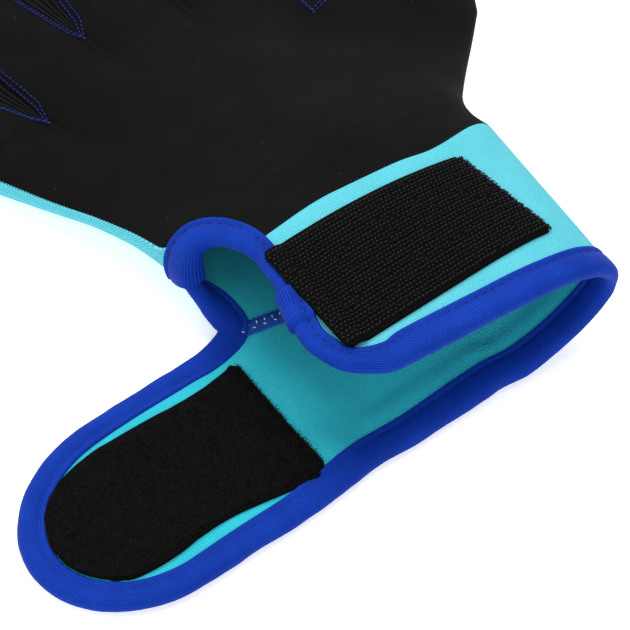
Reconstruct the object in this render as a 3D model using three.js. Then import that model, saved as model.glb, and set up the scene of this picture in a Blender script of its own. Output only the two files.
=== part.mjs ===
import * as THREE from "three";

// Webbed swim glove for the right hand, lying palm side up with its wrist strap open.
// Millimetres. The origin lies on the surface under the middle of the cuff, +Y runs from the
// wrist to the fingertips, +X to the thumb side and +Z up, out of the palm.

// Materials' thicknesses and the clearances between the sewn pieces
const wall = 2.2;
const sheet_gap = 0.3;
const seam_gap = 0.9;
const tape = 1.2;
const tape_gap = 0.4;
const patch_thickness = 1.5;

// Cuff ring
const cuff_length = 50;
const mouth_y = -25.5;
const upper_overhang = 1.5;
const wrist_half_width = 44;
const mouth_half_width = 37;
const mouth_drop = 1.5;
const flat_under = 10;
const cuff_height = 34;
const seam_rise = 9;
const seam_rise_start = 0.35;
const free_end = 39;
const ring_columns = 24;
const cuff_rows = [0, 0.09, 0.18, 0.32, 0.56, 0.72, 0.83, 0.92, 1];

// Squareness of the section at the cuff's mouth: over the free end, over the fold and under it
const mouth_section = { top_left: 9, top_right: 2.9, low_left: 2, low_right: 1.45 };

// Strap
const strap_reach = 116.5;
const strap_width = 56;
const strap_tip_length = 30;
const strap_lean = 5.6;
const strap_narrowing = 1.25;
const strap_columns = [0.12, 0.24, 0.36, 0.44, 0.5, 0.56, 0.66, 0.77, 0.88, 1];
const strap_tip_rows = 5;

// Palm and fingers
const palm_length = 117;
const notch_depth = 16.5;
const finger_height = 14;
const middle_finger_length = 78;
const finger_width = 25;
const crotch_width = 3;
const tip_stretch = 1.15;
const web_reach = 0.66;
const web_end = 0.9;
const web_dip = 0.24;
const web_sag = 2.5;
const finger_cells = 6;
const web_cells = [2, 2, 2, 4];
const finger_rows = [0, 0.22, 0.44, web_reach, 0.78, web_end, 1];
const tip_rows = 3;

// Notch of the palm between the free end and the strap: angle of its two ends and of its apex
// on the section, in degrees from the left side over the top, and shares of the hand's length
// for the apex, the seam's end on the side and the start of the fingers' flattening
const notch_top = 58;
const notch_bottom = -29;
const seam_angle = 22;
const notch_tuck = 90;
const notch_inset = 0.06;
const side_seam_end = 0.72;
const flattening = 0.58;
const notch_rows = [0, 0.35, 0.65, 0.86, 0.96, 1];
const palm_rows = [0.14, 0.3, 0.5, 0.74];

// Edge binding, hook and loop tapes and the inner seam
const binding_width = 8.7;
const strap_binding_width = 7.6;
const free_end_binding_width = 5.8;
const lap_thickness = 0.9;
const lap_start = 0.5;
const lap_end = 0.72;
const hook_length = 60;
const hook_width = 35;
const hook_taper = 4;
const hook_slant = 2.4;
const hook_corner = 1.5;
const hook_from_mouth = 1.4;
const hook_from_end = 3.4;
const loop_length = 64;
const loop_width = 38;
const seam_width = 4.5;
const seam_thickness = 0.9;
const seam_from = -44;
const seam_to = -252;
const edge_places = [0.12, 0.25, 0.38, 0.5, 0.62, 0.72, 0.82, 0.91, 1];
const tip_places = 14;
const notch_places = [0.985, 0.93, 0.86, 0.78, 0.68, 0.55, 0.4, 0.22, 0];
const free_end_places = [0.97, 0.88, 0.79, 0.72, 0.66, 0.58, 0.51, 0.42, 0.33, 0.24, 0.16, 0.09, 0.03];
const roll_angles = [90, 30, -30, -90];
const groove_angles = [-90, 0, 90];
const lip_cells = 2;
const steps = { ring: [0.002, 0.004], strap: [0.05, 0.05], hand: [0.2, 0.002] };

const seam_y = mouth_y + cuff_length;
const ring_middle = cuff_height / 2;
const ring_rise = (cuff_height - wall) / 2;
const lift = tape + tape_gap;
const edge_inset = wall / 2 + tape_gap + tape;

// Left side of the hand: share of the palm's length, share of its half width, out to the left
const left_side = [
  { along: 0.0, out: 1.0 },
  { along: 0.12, out: 1.01 },
  { along: 0.22, out: 1.04 },
  { along: 0.3, out: 1.08 },
  { along: 0.39, out: 1.16 },
  { along: 0.48, out: 1.26 },
  { along: 0.58, out: 1.38 },
  { along: 0.667, out: 1.5 },
];

// Right side of the hand, from the cuff over the waist of the wrist to the thumb
const right_side = [
  { along: 0.075, out: 1.0 },
  { along: 0.13, out: 0.99 },
  { along: 0.19, out: 1.03 },
  { along: 0.245, out: 1.11 },
  { along: 0.3, out: 1.23 },
  { along: 0.37, out: 1.4 },
  { along: 0.45, out: 1.6 },
  { along: 0.53, out: 1.8 },
];

// Crotches between the fingers, with the outer ends of the row of finger roots
const roots = [
  { along: 0.667, out: -1.5 },
  { along: 0.769, out: -1.0 },
  { along: 0.991, out: -0.43 },
  { along: 1.009, out: 0.28 },
  { along: 0.752, out: 0.94 },
  { along: 0.53, out: 1.8 },
];

// Fingers from the little finger to the thumb: lean to the thumb side in degrees, length as a
// share of the middle finger's, width of the tip as a share of the finger width
const fingers = [
  { name: "little", lean: -26, length: 0.78, tip: 0.88 },
  { name: "ring", lean: -12, length: 0.96, tip: 0.96 },
  { name: "middle", lean: 0, length: 1.0, tip: 1.0 },
  { name: "index", lean: 11, length: 1.03, tip: 0.98 },
  { name: "thumb", lean: 44, length: 0.8, tip: 1.08 },
];

// Height of the hand from the wrist seam (0) to the finger roots (1): middle plane and half
// height as shares of the cuff's, and the squareness of the section's four quarters
const hand_sections = [
  { at: 0.0, middle: 1.0, rise: 1.0, top_left: 5.0, top_right: 2.6, low_left: 2.4, low_right: 2.4 },
  { at: 0.16, middle: 0.97, rise: 0.95, top_left: 3.4, top_right: 2.5, low_left: 2.4, low_right: 2.6 },
  { at: 0.32, middle: 0.88, rise: 0.85, top_left: 2.2, top_right: 2.4, low_left: 2.5, low_right: 2.8 },
  { at: 0.5, middle: 0.72, rise: 0.69, top_left: 2.1, top_right: 2.2, low_left: 2.3, low_right: 2.4 },
  { at: 0.7, middle: 0.57, rise: 0.53, top_left: 2.0, top_right: 2.0, low_left: 2.0, low_right: 2.0 },
  { at: 1.0, middle: 0.43, rise: 0.39, top_left: 2.0, top_right: 2.0, low_left: 2.0, low_right: 2.0 },
];

// Free end of the upper cuff: share of the cuff's length from its mouth, and reach to the left
const free_end_outline = [
  { at: 0.0, out: 0.74 },
  { at: 0.12, out: 0.93 },
  { at: 0.24, out: 0.985 },
  { at: 0.36, out: 1.0 },
  { at: 0.58, out: 0.93 },
  { at: 0.77, out: 0.88 },
  { at: 1.0, out: 0.87 },
];

const lerp = (a, b, t) => a + (b - a) * t;
const clamp = (x, low, high) => Math.min(high, Math.max(low, x));
const radians = (degrees) => (degrees * Math.PI) / 180;

const notch_at = notch_depth / (palm_length * left_side.at(-1).along);
const notch_end = notch_at + notch_inset;
const hand_rows = [
  ...notch_rows.map((share) => share * notch_end),
  ...palm_rows.map((share) => lerp(notch_end, 1, share)),
];

function smooth(t) {
  const x = clamp(t, 0, 1);
  return x * x * (3 - 2 * x);
}

// Value of a table's column at a place, along a smooth curve through its rows
function tableValue(rows, key, column, at) {
  const last = rows.length - 1;
  let i = 0;
  while (i < last - 1 && at > rows[i + 1][key]) i += 1;
  const span = rows[i + 1][key] - rows[i][key];
  const slope = (k) => {
    const a = rows[Math.max(0, k - 1)];
    const b = rows[Math.min(last, k + 1)];
    return (b[column] - a[column]) / (b[key] - a[key]);
  };
  const t = (at - rows[i][key]) / span;
  const start = rows[i][column];
  const end = rows[i + 1][column];
  const h = t * t * (3 - 2 * t);
  const rise = slope(i) * span * t * (1 - t) * (1 - t);
  const fall = slope(i + 1) * span * t * t * (t - 1);
  return lerp(start, end, h) + rise + fall;
}

// Point of a rounded section at an angle from the left side (0) over the top (90)
function sectionShare(degrees, topLeft, topRight, lowLeft, lowRight) {
  const c = Math.cos(radians(degrees));
  const s = Math.sin(radians(degrees));
  const left = c > 0;
  const top = s > 0;
  const power = top ? (left ? topLeft : topRight) : (left ? lowLeft : lowRight);
  return {
    across: -Math.sign(c) * Math.abs(c) ** (2 / power),
    up: Math.sign(s) * Math.abs(s) ** (2 / power),
  };
}

// The ring lies flat under its middle, and only then turns up to the fold on the thumb side
const flatShare = (across, amount) => amount + across * (1 - amount);

// The wrist seam climbs towards the thumb side
const wristY = (across) => seam_y
  + seam_rise * smooth((across - seam_rise_start) / (1 - seam_rise_start));

function sidePoint(rows, sign, v) {
  const along = lerp(rows[0].along, rows.at(-1).along, v);
  const out = tableValue(rows, "along", "out", along);
  return { x: sign * out * wrist_half_width, y: seam_y + along * palm_length };
}

// Outer corners of the finger roots in plan
const root_points = roots.map((row) => new THREE.Vector2(
  row.out * wrist_half_width,
  seam_y + row.along * palm_length,
));

function unit(from, to) {
  return to.clone().sub(from).normalize();
}

// Both ends of each finger's root; neighbours stand a crotch width apart
const finger_roots = fingers.map((finger, i) => {
  const a = root_points[i];
  const b = root_points[i + 1];
  const along = unit(a, b);
  const left = i === 0 ? a.clone() : a.clone().addScaledVector(along, crotch_width / 2);
  const right = i === fingers.length - 1 ? b.clone() : b.clone().addScaledVector(along, -crotch_width / 2);
  return { left, right };
});

// Columns across the hand, closer together at a finger's sides
const columns = [];
fingers.forEach((finger, i) => {
  for (let k = 0; k <= finger_cells; k += 1) {
    const rho = -Math.cos((Math.PI * k) / finger_cells);
    const point = finger_roots[i].left.clone().lerp(finger_roots[i].right, (1 + rho) / 2);
    columns.push({ finger: i, rho, point });
  }
  if (i < fingers.length - 1) {
    for (let k = 1; k < web_cells[i]; k += 1) {
      const point = finger_roots[i].right.clone().lerp(finger_roots[i + 1].left, k / web_cells[i]);
      columns.push({ web: i, share: k / web_cells[i], point });
    }
  }
});

// Each column's place across the hand, from -1 at the little finger to 1 at the thumb
let girth = 0;
columns.forEach((column, i) => {
  if (i > 0) girth += column.point.distanceTo(columns[i - 1].point);
  column.across = girth;
});
for (const column of columns) {
  column.across = (2 * column.across) / girth - 1;
  column.angle = (Math.acos(-column.across) * 180) / Math.PI;
}

function rootPoint(across) {
  const a = clamp(across, -1, 1);
  let i = 0;
  while (i < columns.length - 2 && a > columns[i + 1].across) i += 1;
  const t = (a - columns[i].across) / (columns[i + 1].across - columns[i].across);
  return columns[i].point.clone().lerp(columns[i + 1].point, t);
}

// Place in plan of a share across the hand (-1 to 1) and a share from wrist to finger roots
function planPoint(across, v) {
  const u = (1 + across) / 2;
  const wrist = { x: across * wrist_half_width, y: wristY(across) };
  const root = rootPoint(across);
  const left = sidePoint(left_side, -1, v);
  const right = sidePoint(right_side, 1, v);
  const corners = {
    lowLeft: { x: -wrist_half_width, y: wristY(-1) },
    lowRight: { x: wrist_half_width, y: wristY(1) },
    highLeft: root_points[0],
    highRight: root_points.at(-1),
  };
  const mix = (key) =>
    (1 - v) * wrist[key] + v * root[key] + (1 - u) * left[key] + u * right[key]
    - (1 - u) * (1 - v) * corners.lowLeft[key] - u * (1 - v) * corners.lowRight[key]
    - (1 - u) * v * corners.highLeft[key] - u * v * corners.highRight[key];
  return { x: mix("x"), y: mix("y") };
}

// Angle where the palm and the back end on the left: apart round the notch, together beyond it
function leftBorder(side, v, inset = 0) {
  const apex = notch_at + inset;
  if (v >= apex) return seam_angle * (1 - smooth((v - apex) / (side_seam_end - apex)));
  const power = side > 0 ? 0.55 : 0.25;
  const spread = (1 - v / apex) ** power;
  const end = side > 0 ? notch_top : notch_bottom;
  return lerp(seam_angle, end, spread) + side * inset * notch_tuck * spread;
}

// The band and the strap are raised over the binding under them, towards the strap all across
const strapRaise = (x) => smooth((-x / wrist_half_width - 0.5) / 0.3);
const notchLift = (x) => lift * strapRaise(x);

// Middle surface of the hand between the wrist and the finger roots, at an angle of its section
function handPoint(degrees, v) {
  const at = Math.min(v, 1);
  const value = (column) => tableValue(hand_sections, "at", column, at);
  const share = sectionShare(
    degrees, value("top_left"), value("top_right"), value("low_left"), value("low_right"),
  );
  const amount = (flat_under / wrist_half_width) * (1 - smooth(at / 0.4));
  const under = degrees < -90 && degrees > -180;
  const across = under ? flatShare(share.across, amount) : share.across;
  const plan = planPoint(across, at);
  const middle = value("middle") * ring_middle;
  const rise = value("rise") * ring_rise;
  let z = middle + rise * share.up;
  const low = smooth(-degrees / 20);
  const opened = 1 - smooth(at / notch_at) ** 0.9;
  if (Math.cos(radians(degrees)) > 0) {
    z = lerp(z, middle - rise + notchLift(plan.x), opened * low);
  }
  return new THREE.Vector3(plan.x, plan.y, z);
}

// Middle surface of the fingers and webs past their roots
const finger_middle = finger_height / 2;
const finger_rise = (finger_height - wall - sheet_gap) / 2;
const web_level = wall / 2;

const finger_shapes = fingers.map((finger, i) => {
  const root = finger_roots[i];
  const middle = root.left.clone().lerp(root.right, 0.5);
  const lean = radians(finger.lean);
  const along = new THREE.Vector2(Math.sin(lean), Math.cos(lean));
  const across = new THREE.Vector2(along.y, -along.x);
  const radius = (finger.tip * finger_width) / 2;
  const length = finger.length * middle_finger_length;
  const centre = middle.clone().addScaledVector(along, length - radius * tip_stretch);
  return { ...root, along, across, radius, centre, length };
});

// Edge of a finger at a share of its length before the rounded tip
function fingerEdge(i, sign, t) {
  const shape = finger_shapes[i];
  const start = sign < 0 ? shape.left : shape.right;
  const end = shape.centre.clone().addScaledVector(shape.across, sign * shape.radius);
  const ease = t * (1.6 - 0.6 * t);
  const straight = start.clone().lerp(end, t);
  const narrow = (ease - t) * start.distanceTo(end) * 0.12;
  return straight.addScaledVector(shape.across, -sign * narrow);
}

// How far a finger's side is joined to a web (1) or free (0)
function joined(i, sign, t) {
  const outer = (i === 0 && sign < 0) || (i === fingers.length - 1 && sign > 0);
  if (outer) return 0;
  return 1 - smooth((t - web_reach) / (web_end - web_reach));
}

function fingerPoint(side, i, rho, t) {
  const left = fingerEdge(i, -1, t);
  const right = fingerEdge(i, 1, t);
  const plan = left.lerp(right, (1 + rho) / 2);
  const joint = joined(i, rho < 0 ? -1 : 1, t);
  const base = joint * web_level;
  const power = 0.5 + 0.5 * joint;
  const bulge = (finger_rise - base) * Math.max(0, 1 - rho * rho) ** power;
  const z = finger_middle + side * (sheet_gap / 2 + base + bulge);
  return new THREE.Vector3(plan.x, plan.y, z);
}

function webPoint(side, i, share, t) {
  const dipped = t * (1 - web_dip * Math.sin(Math.PI * share));
  const left = fingerEdge(i, 1, dipped);
  const right = fingerEdge(i + 1, -1, dipped);
  const plan = left.lerp(right, share);
  const z = finger_middle - web_sag * t * Math.sin(Math.PI * share) + side * (sheet_gap / 2 + web_level);
  return new THREE.Vector3(plan.x, plan.y, z);
}

function columnPoint(side, column, t) {
  if (column.web === undefined) return fingerPoint(side, column.finger, column.rho, t);
  return webPoint(side, column.web, column.share, t);
}

// Point of the palm (side 1) or back (side -1) at a column and a share from wrist to roots
function panelPoint(side, column, v, inset = 0) {
  const border = leftBorder(side, v, inset);
  const rise = tableValue(hand_sections, "at", "rise", v) * ring_rise;
  const gapAngle = (side * sheet_gap * 180) / (rise * Math.PI);
  const start = border + gapAngle;
  const end = side > 0 ? 180 - gapAngle : -180 - gapAngle;
  const degrees = lerp(start, end, column.angle / 180);
  const hand = handPoint(degrees, v);
  const pinch = smooth((v - flattening) / (1 - flattening));
  const finger = columnPoint(side, column, 0);
  hand.z = lerp(hand.z, finger.z, pinch);
  return hand;
}

// Surface under construction: points and quads, with the direction of some edges' normals fixed
class Surface {
  constructor(flipped = false) {
    this.points = [];
    this.triangles = [];
    this.flat = new Set();
    this.flipped = flipped;
  }

  add(point, flat = false) {
    this.points.push(point);
    if (flat) this.flat.add(this.points.length - 1);
    return this.points.length - 1;
  }

  quad(a, b, c, d) {
    const p = this.points;
    const short = p[a].distanceTo(p[c]) <= p[b].distanceTo(p[d]);
    const pair = short ? [[a, b, c], [a, c, d]] : [[a, b, d], [b, c, d]];
    for (const triangle of pair) this.triangles.push(this.flipped ? triangle.reverse() : triangle);
  }

  // Joins two rows of points with quads
  band(lower, upper) {
    for (let i = 0; i + 1 < lower.length; i += 1) {
      this.quad(lower[i], lower[i + 1], upper[i + 1], upper[i]);
    }
  }

  normals() {
    const normals = this.points.map(() => new THREE.Vector3());
    for (const [a, b, c] of this.triangles) {
      const u = this.points[b].clone().sub(this.points[a]);
      const w = this.points[c].clone().sub(this.points[a]);
      const n = u.cross(w);
      normals[a].add(n);
      normals[b].add(n);
      normals[c].add(n);
    }
    normals.forEach((n, i) => {
      if (this.flat.has(i)) n.z = 0;
      n.normalize();
    });
    return normals;
  }

  // Closed solid between two offsets along the normals, with its rim closed by a strip
  solid(above, below) {
    const normals = this.normals();
    const count = this.points.length;
    const positions = [];
    for (const offset of [above, below]) {
      this.points.forEach((p, i) => {
        const q = p.clone().addScaledVector(normals[i], offset);
        positions.push(q.x, q.y, q.z);
      });
    }
    const faces = [];
    const edges = new Map();
    for (const [a, b, c] of this.triangles) {
      faces.push(a, b, c, c + count, b + count, a + count);
      for (const [from, to] of [[a, b], [b, c], [c, a]]) edges.set(`${from} ${to}`, [from, to]);
    }
    for (const [from, to] of edges.values()) {
      if (edges.has(`${to} ${from}`)) continue;
      faces.push(to, from, from + count, to, from + count, to + count);
    }
    const geometry = new THREE.BufferGeometry();
    geometry.setAttribute("position", new THREE.Float32BufferAttribute(positions, 3));
    geometry.setIndex(faces);
    geometry.computeVertexNormals();
    return geometry;
  }
}

// One panel of the hand: palm or back half of the hand, webs and fingers, as one sheet
function panelSurface(side) {
  const surface = new Surface(side < 0);
  const first = seam_gap / 2 / palm_length;
  let previous = null;
  for (const v of hand_rows) {
    const level = leftBorder(side, v, notch_inset) < 3 && v > notch_at;
    const row = columns.map((column, i) => {
      const rim = i === columns.length - 1 || (i === 0 && level);
      return surface.add(panelPoint(side, column, Math.max(v, first), notch_inset), rim);
    });
    if (previous) surface.band(previous, row);
    previous = row;
  }
  for (const t of finger_rows) {
    const row = columns.map((column) => {
      if (column.web !== undefined && t > web_reach) return null;
      const free = column.web === undefined && Math.abs(column.rho) === 1
        && joined(column.finger, column.rho, t) < 0.99;
      return surface.add(columnPoint(side, column, t), free);
    });
    for (let i = 0; i + 1 < row.length; i += 1) {
      const corners = [previous[i], previous[i + 1], row[i + 1], row[i]];
      const sameFinger = columns[i].finger !== undefined && columns[i].finger === columns[i + 1].finger;
      const web = t <= web_reach;
      if ((sameFinger || web) && corners.every((k) => k !== null)) surface.quad(...corners);
    }
    previous = row;
  }
  fingers.forEach((finger, i) => addTip(surface, side, i, previous));
  return surface;
}

// Rounded end of a finger, a half disc that domes down to its rim
function addTip(surface, side, i, lastRow) {
  const shape = finger_shapes[i];
  let previous = lastRow.filter((k, column) => columns[column].finger === i);
  for (let j = 1; j <= tip_rows; j += 1) {
    const b = Math.sin((Math.PI * j) / (2 * tip_rows));
    const row = previous.map((k, column) => {
      const a = -Math.cos((Math.PI * column) / finger_cells);
      const x = a * Math.sqrt(1 - (b * b) / 2);
      const y = b * Math.sqrt(1 - (a * a) / 2);
      const dome = Math.sqrt(Math.max(0, 1 - x * x - y * y));
      const rim = j === tip_rows || Math.abs(a) === 1;
      const plan = shape.centre.clone()
        .addScaledVector(shape.across, x * shape.radius)
        .addScaledVector(shape.along, y * shape.radius * tip_stretch);
      const height = rim ? 0 : finger_rise * dome;
      const z = finger_middle + side * (sheet_gap / 2 + height);
      return surface.add(new THREE.Vector3(plan.x, plan.y, z), rim);
    });
    surface.band(previous, row);
    previous = row;
  }
}

const strap_slope = Math.tan(radians(strap_lean));
const strap_root = wrist_half_width;
const tip_start = strap_reach - edge_inset - strap_tip_length;
const sheet_mouth = mouth_y + edge_inset;

const strapLow = (x) => sheet_mouth + strap_slope * x;
const strapHigh = (x) => {
  const root = strapLow(-strap_root) + strap_width - 2 * edge_inset;
  const along = clamp((-x - strap_root) / (tip_start - strap_root), 0, 1.5);
  const strap = root - along * (tip_start - strap_root) * strap_slope * strap_narrowing;
  return lerp(seam_y - seam_gap / 2, strap, smooth((-x - strap_root * 0.96) / (strap_root * 0.12)));
};

// Height of the band's middle surface where it lies flat: raised over the binding at its mouth
function flatHeight(x, fromMouth) {
  const mouth = 1 - smooth((fromMouth - binding_width) / 6);
  return wall / 2 + lift * Math.max(mouth, strapRaise(x));
}

// Middle height and squareness of the ring's section, from its mouth (0) to the wrist seam (1)
const ringMiddle = (v) => lerp(ring_middle + mouth_drop, ring_middle, smooth(v));
const squarenessAt = (quarter, v) => {
  const at_seam = quarter === "low_left" ? mouth_section.low_left : hand_sections[0][quarter];
  return lerp(mouth_section[quarter], at_seam, v);
};

// Middle surface of the cuff ring at an angle of its section
function ringAt(degrees, v) {
  const left = Math.cos(radians(degrees)) > 0;
  const half = left ? wrist_half_width : lerp(mouth_half_width, wrist_half_width, v);
  const middle = ringMiddle(v);
  const top = cuff_height - wall / 2;
  const quarters = ["top_left", "top_right", "low_left", "low_right"];
  const share = sectionShare(degrees, ...quarters.map((quarter) => squarenessAt(quarter, v)));
  const x = degrees > 180 ? flatShare(share.across, flat_under / half) * half : share.across * half;
  const bottom = flatHeight(x, v * cuff_length);
  const z = middle + share.up * (share.up > 0 ? top - middle : middle - bottom);
  const mouth = sheet_mouth - upper_overhang * smooth(share.up * 2);
  const y = lerp(mouth, wristY(x / wrist_half_width) - seam_gap / 2, v);
  return new THREE.Vector3(x, y, z);
}

// The cuff ring from the free end (0) round the fold to the middle below (1)
function ringPoint(t, v) {
  const reach = (tableValue(free_end_outline, "at", "out", v) * free_end) / wrist_half_width;
  const start = (Math.acos(Math.min(1, reach) ** (squarenessAt("top_left", v) / 2)) * 180) / Math.PI;
  return ringAt(lerp(start, 270, t), v);
}

// Middle surface of the flat lower band and strap, at a distance to the left of the middle
function strapPoint(out, v) {
  const low = strapLow(-out);
  const high = strapHigh(-out);
  return new THREE.Vector3(-out, lerp(low, high, v), flatHeight(-out, v * (high - low)));
}

const strap_axis = new THREE.Vector3(-1, -strap_slope, 0).normalize();

function strapTipPoint(across, along) {
  const low = strapPoint(tip_start, 0);
  const high = strapPoint(tip_start, 1);
  const x = along * Math.sqrt(1 - (across * across) / 2);
  const y = across * Math.sqrt(1 - (along * along) / 2);
  return low.clone().lerp(high, (1 + y) / 2).addScaledVector(strap_axis, x * strap_tip_length);
}

function cuffSurface() {
  const surface = new Surface();
  const rows = [...cuff_rows].reverse();
  let previous = null;
  const addColumn = (pointAt) => {
    const column = rows.map((v) => surface.add(pointAt(v)));
    if (previous) surface.band(previous, column);
    previous = column;
  };
  for (let i = 0; i <= ring_columns; i += 1) addColumn((v) => ringPoint(i / ring_columns, v));
  for (const share of strap_columns) addColumn((v) => strapPoint(share * tip_start, v));
  for (let j = 1; j <= strap_tip_rows; j += 1) {
    const along = Math.sin((Math.PI * j) / (2 * strap_tip_rows));
    addColumn((v) => strapTipPoint(2 * v - 1, along));
  }
  return surface;
}

// Middle surfaces by two parameters each, for what is laid on them
const onRing = (t, v) => ringPoint(t, v);
const onStrap = (out, y) => new THREE.Vector3(-out, y, flatHeight(-out, y - strapLow(-out)));
const onHand = (degrees, v) => handPoint(degrees, v);

// Point, outward normal and both directions of a surface
function surfaceFrame(surface, p, q, stepP, stepQ) {
  const at = surface(p, q);
  const alongP = surface(p + stepP, q).sub(surface(p - stepP, q)).divideScalar(2 * stepP);
  const alongQ = surface(p, q + stepQ).sub(surface(p, q - stepQ)).divideScalar(2 * stepQ);
  const normal = alongP.clone().cross(alongQ).normalize();
  return { at, alongP, alongQ, normal };
}

// Steps in the two parameters that move a point along a direction in the surface
function stepAlong(frame, direction) {
  const pp = frame.alongP.dot(frame.alongP);
  const pq = frame.alongP.dot(frame.alongQ);
  const qq = frame.alongQ.dot(frame.alongQ);
  const dp = frame.alongP.dot(direction);
  const dq = frame.alongQ.dot(direction);
  const det = pp * qq - pq * pq;
  return { p: (dp * qq - dq * pq) / det, q: (dq * pp - dp * pq) / det };
}

// Bound edge of the cuff as one loop: each place holds its surface, its two parameters and how
// far the tape shows
function boundEdge() {
  const places = [];
  const add = (kind, surface, p, q, width, lap = 0) => {
    places.push({ kind, surface, p, q, width, lap });
  };
  for (let i = 0; i <= ring_columns; i += 1) add("ring", onRing, i / ring_columns, 0, binding_width);
  for (const out of edge_places) {
    const x = out * tip_start;
    add("strap", onStrap, x, strapLow(-x), lerp(binding_width, strap_binding_width, out));
  }
  for (let j = 1; j < tip_places; j += 1) {
    const angle = Math.PI * (j / tip_places) - Math.PI / 2;
    const low = strapLow(-tip_start);
    const high = strapHigh(-tip_start);
    const centre = new THREE.Vector3(-tip_start, (low + high) / 2, 0);
    const point = centre.addScaledVector(strap_axis, strap_tip_length * Math.cos(angle));
    const y = point.y + ((high - low) / 2) * Math.sin(angle);
    add("strap", onStrap, -point.x, y, strap_binding_width);
  }
  for (const out of [...edge_places].reverse()) {
    const x = out * tip_start;
    if (x < strap_root * 1.14) continue;
    add("strap", onStrap, x, strapHigh(-x), strap_binding_width);
  }
  for (const back of notch_places) {
    const v = notch_at * (1 - back ** 3);
    add("hand", onHand, leftBorder(-1, v), v, strap_binding_width);
  }
  for (const back of [...notch_places].reverse().slice(1)) {
    const v = notch_at * (1 - back ** 1.8);
    add("hand", onHand, leftBorder(1, v), v, strap_binding_width);
  }
  for (const at of free_end_places) {
    const lap = at > lap_start && at < lap_end ? 1 : 0;
    add("ring", onRing, 0, at, free_end_binding_width, lap);
  }
  return places;
}

// Knit tape folded round the bound edge: a channel with a lip on each face of the cloth
function bindingGeometry() {
  const places = boundEdge();
  const count = places.length;
  const inner = wall / 2 + tape_gap;
  const sections = places.map((place, i) => {
    const before = places[(i + count - 1) % count];
    const after = places[(i + 1) % count];
    const tangent = after.surface(after.p, after.q).sub(before.surface(before.p, before.q)).normalize();
    const [stepP, stepQ] = steps[place.kind];
    const outer = inner + tape + place.lap * lap_thickness;
    const depth = place.width - inner - tape;
    const edge = surfaceFrame(place.surface, place.p, place.q, stepP, stepQ);
    const inward = edge.normal.clone().cross(tangent).normalize();
    const rails = [edge];
    let p = place.p;
    let q = place.q;
    let frame = edge;
    for (let k = 1; k <= lip_cells; k += 1) {
      const heading = frame.normal.clone().cross(tangent).normalize();
      const move = stepAlong(frame, heading);
      p += (move.p * depth) / lip_cells;
      q += (move.q * depth) / lip_cells;
      frame = surfaceFrame(place.surface, p, q, stepP, stepQ);
      rails.push(frame);
    }
    const off = (rail, distance) => rail.at.clone().addScaledVector(rail.normal, distance);
    const turned = (degrees, radius) => edge.at.clone()
      .addScaledVector(edge.normal, radius * Math.sin(radians(degrees)))
      .addScaledVector(inward, -radius * Math.cos(radians(degrees)));
    const loop = [];
    for (let k = lip_cells; k >= 1; k -= 1) loop.push(off(rails[k], outer));
    for (const degrees of roll_angles) loop.push(turned(degrees, outer));
    for (let k = 1; k <= lip_cells; k += 1) loop.push(off(rails[k], -outer));
    for (let k = lip_cells; k >= 1; k -= 1) loop.push(off(rails[k], -inner));
    for (const degrees of groove_angles) loop.push(turned(degrees, inner));
    for (let k = 1; k <= lip_cells; k += 1) loop.push(off(rails[k], inner));
    return loop;
  });
  return loftedLoop(sections);
}

// Closed ring of equal closed sections
function loftedLoop(sections) {
  const size = sections[0].length;
  const positions = sections.flat().flatMap((p) => [p.x, p.y, p.z]);
  const faces = [];
  for (let i = 0; i < sections.length; i += 1) {
    const next = (i + 1) % sections.length;
    for (let k = 0; k < size; k += 1) {
      const up = (k + 1) % size;
      const [a, b, c, d] = [i * size + k, next * size + k, next * size + up, i * size + up];
      faces.push(a, c, b, a, d, c);
    }
  }
  const geometry = new THREE.BufferGeometry();
  geometry.setAttribute("position", new THREE.Float32BufferAttribute(positions, 3));
  geometry.setIndex(faces);
  geometry.computeVertexNormals();
  return geometry;
}

// Upper layer of the cuff by its place in plan
function onCuffTop(x, y) {
  const v = (y - sheet_mouth) / (seam_y - sheet_mouth);
  const half = x < 0 ? wrist_half_width : lerp(mouth_half_width, wrist_half_width, v);
  const middle = ringMiddle(v);
  const share = Math.abs(x) / half;
  const squareness = squarenessAt(x < 0 ? "top_left" : "top_right", v);
  const up = (1 - share ** squareness) ** (1 / squareness);
  return new THREE.Vector3(x, y, middle + (cuff_height - wall / 2 - middle) * up);
}

// Hook tape on the outside of the upper cuff
function hookGeometry() {
  const surface = new Surface();
  const low = sheet_mouth - upper_overhang + binding_width - edge_inset + hook_from_mouth;
  const left = -free_end + free_end_binding_width - edge_inset + hook_from_end;
  const patch_columns = 10;
  const patch_rows = 6;
  let previous = null;
  for (let j = 0; j <= patch_rows; j += 1) {
    const across = (2 * j) / patch_rows - 1;
    const row = [];
    for (let i = 0; i <= patch_columns; i += 1) {
      const along = i / patch_columns;
      const half = (hook_width - hook_taper * along) / 2;
      const slant = Math.max(0, across) * hook_slant * (1 - along);
      const corner = i === 0 && Math.abs(across) === 1 ? hook_corner : 0;
      const x = left + slant + along * (hook_length - slant) + corner;
      const y = low + hook_width / 2 + hook_taper * 0.9 * along + across * half;
      row.push(surface.add(onCuffTop(x, y)));
    }
    if (previous) surface.band(previous, row);
    previous = row;
  }
  const base = wall / 2 + tape_gap;
  return surface.solid(base + patch_thickness, base);
}

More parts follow.
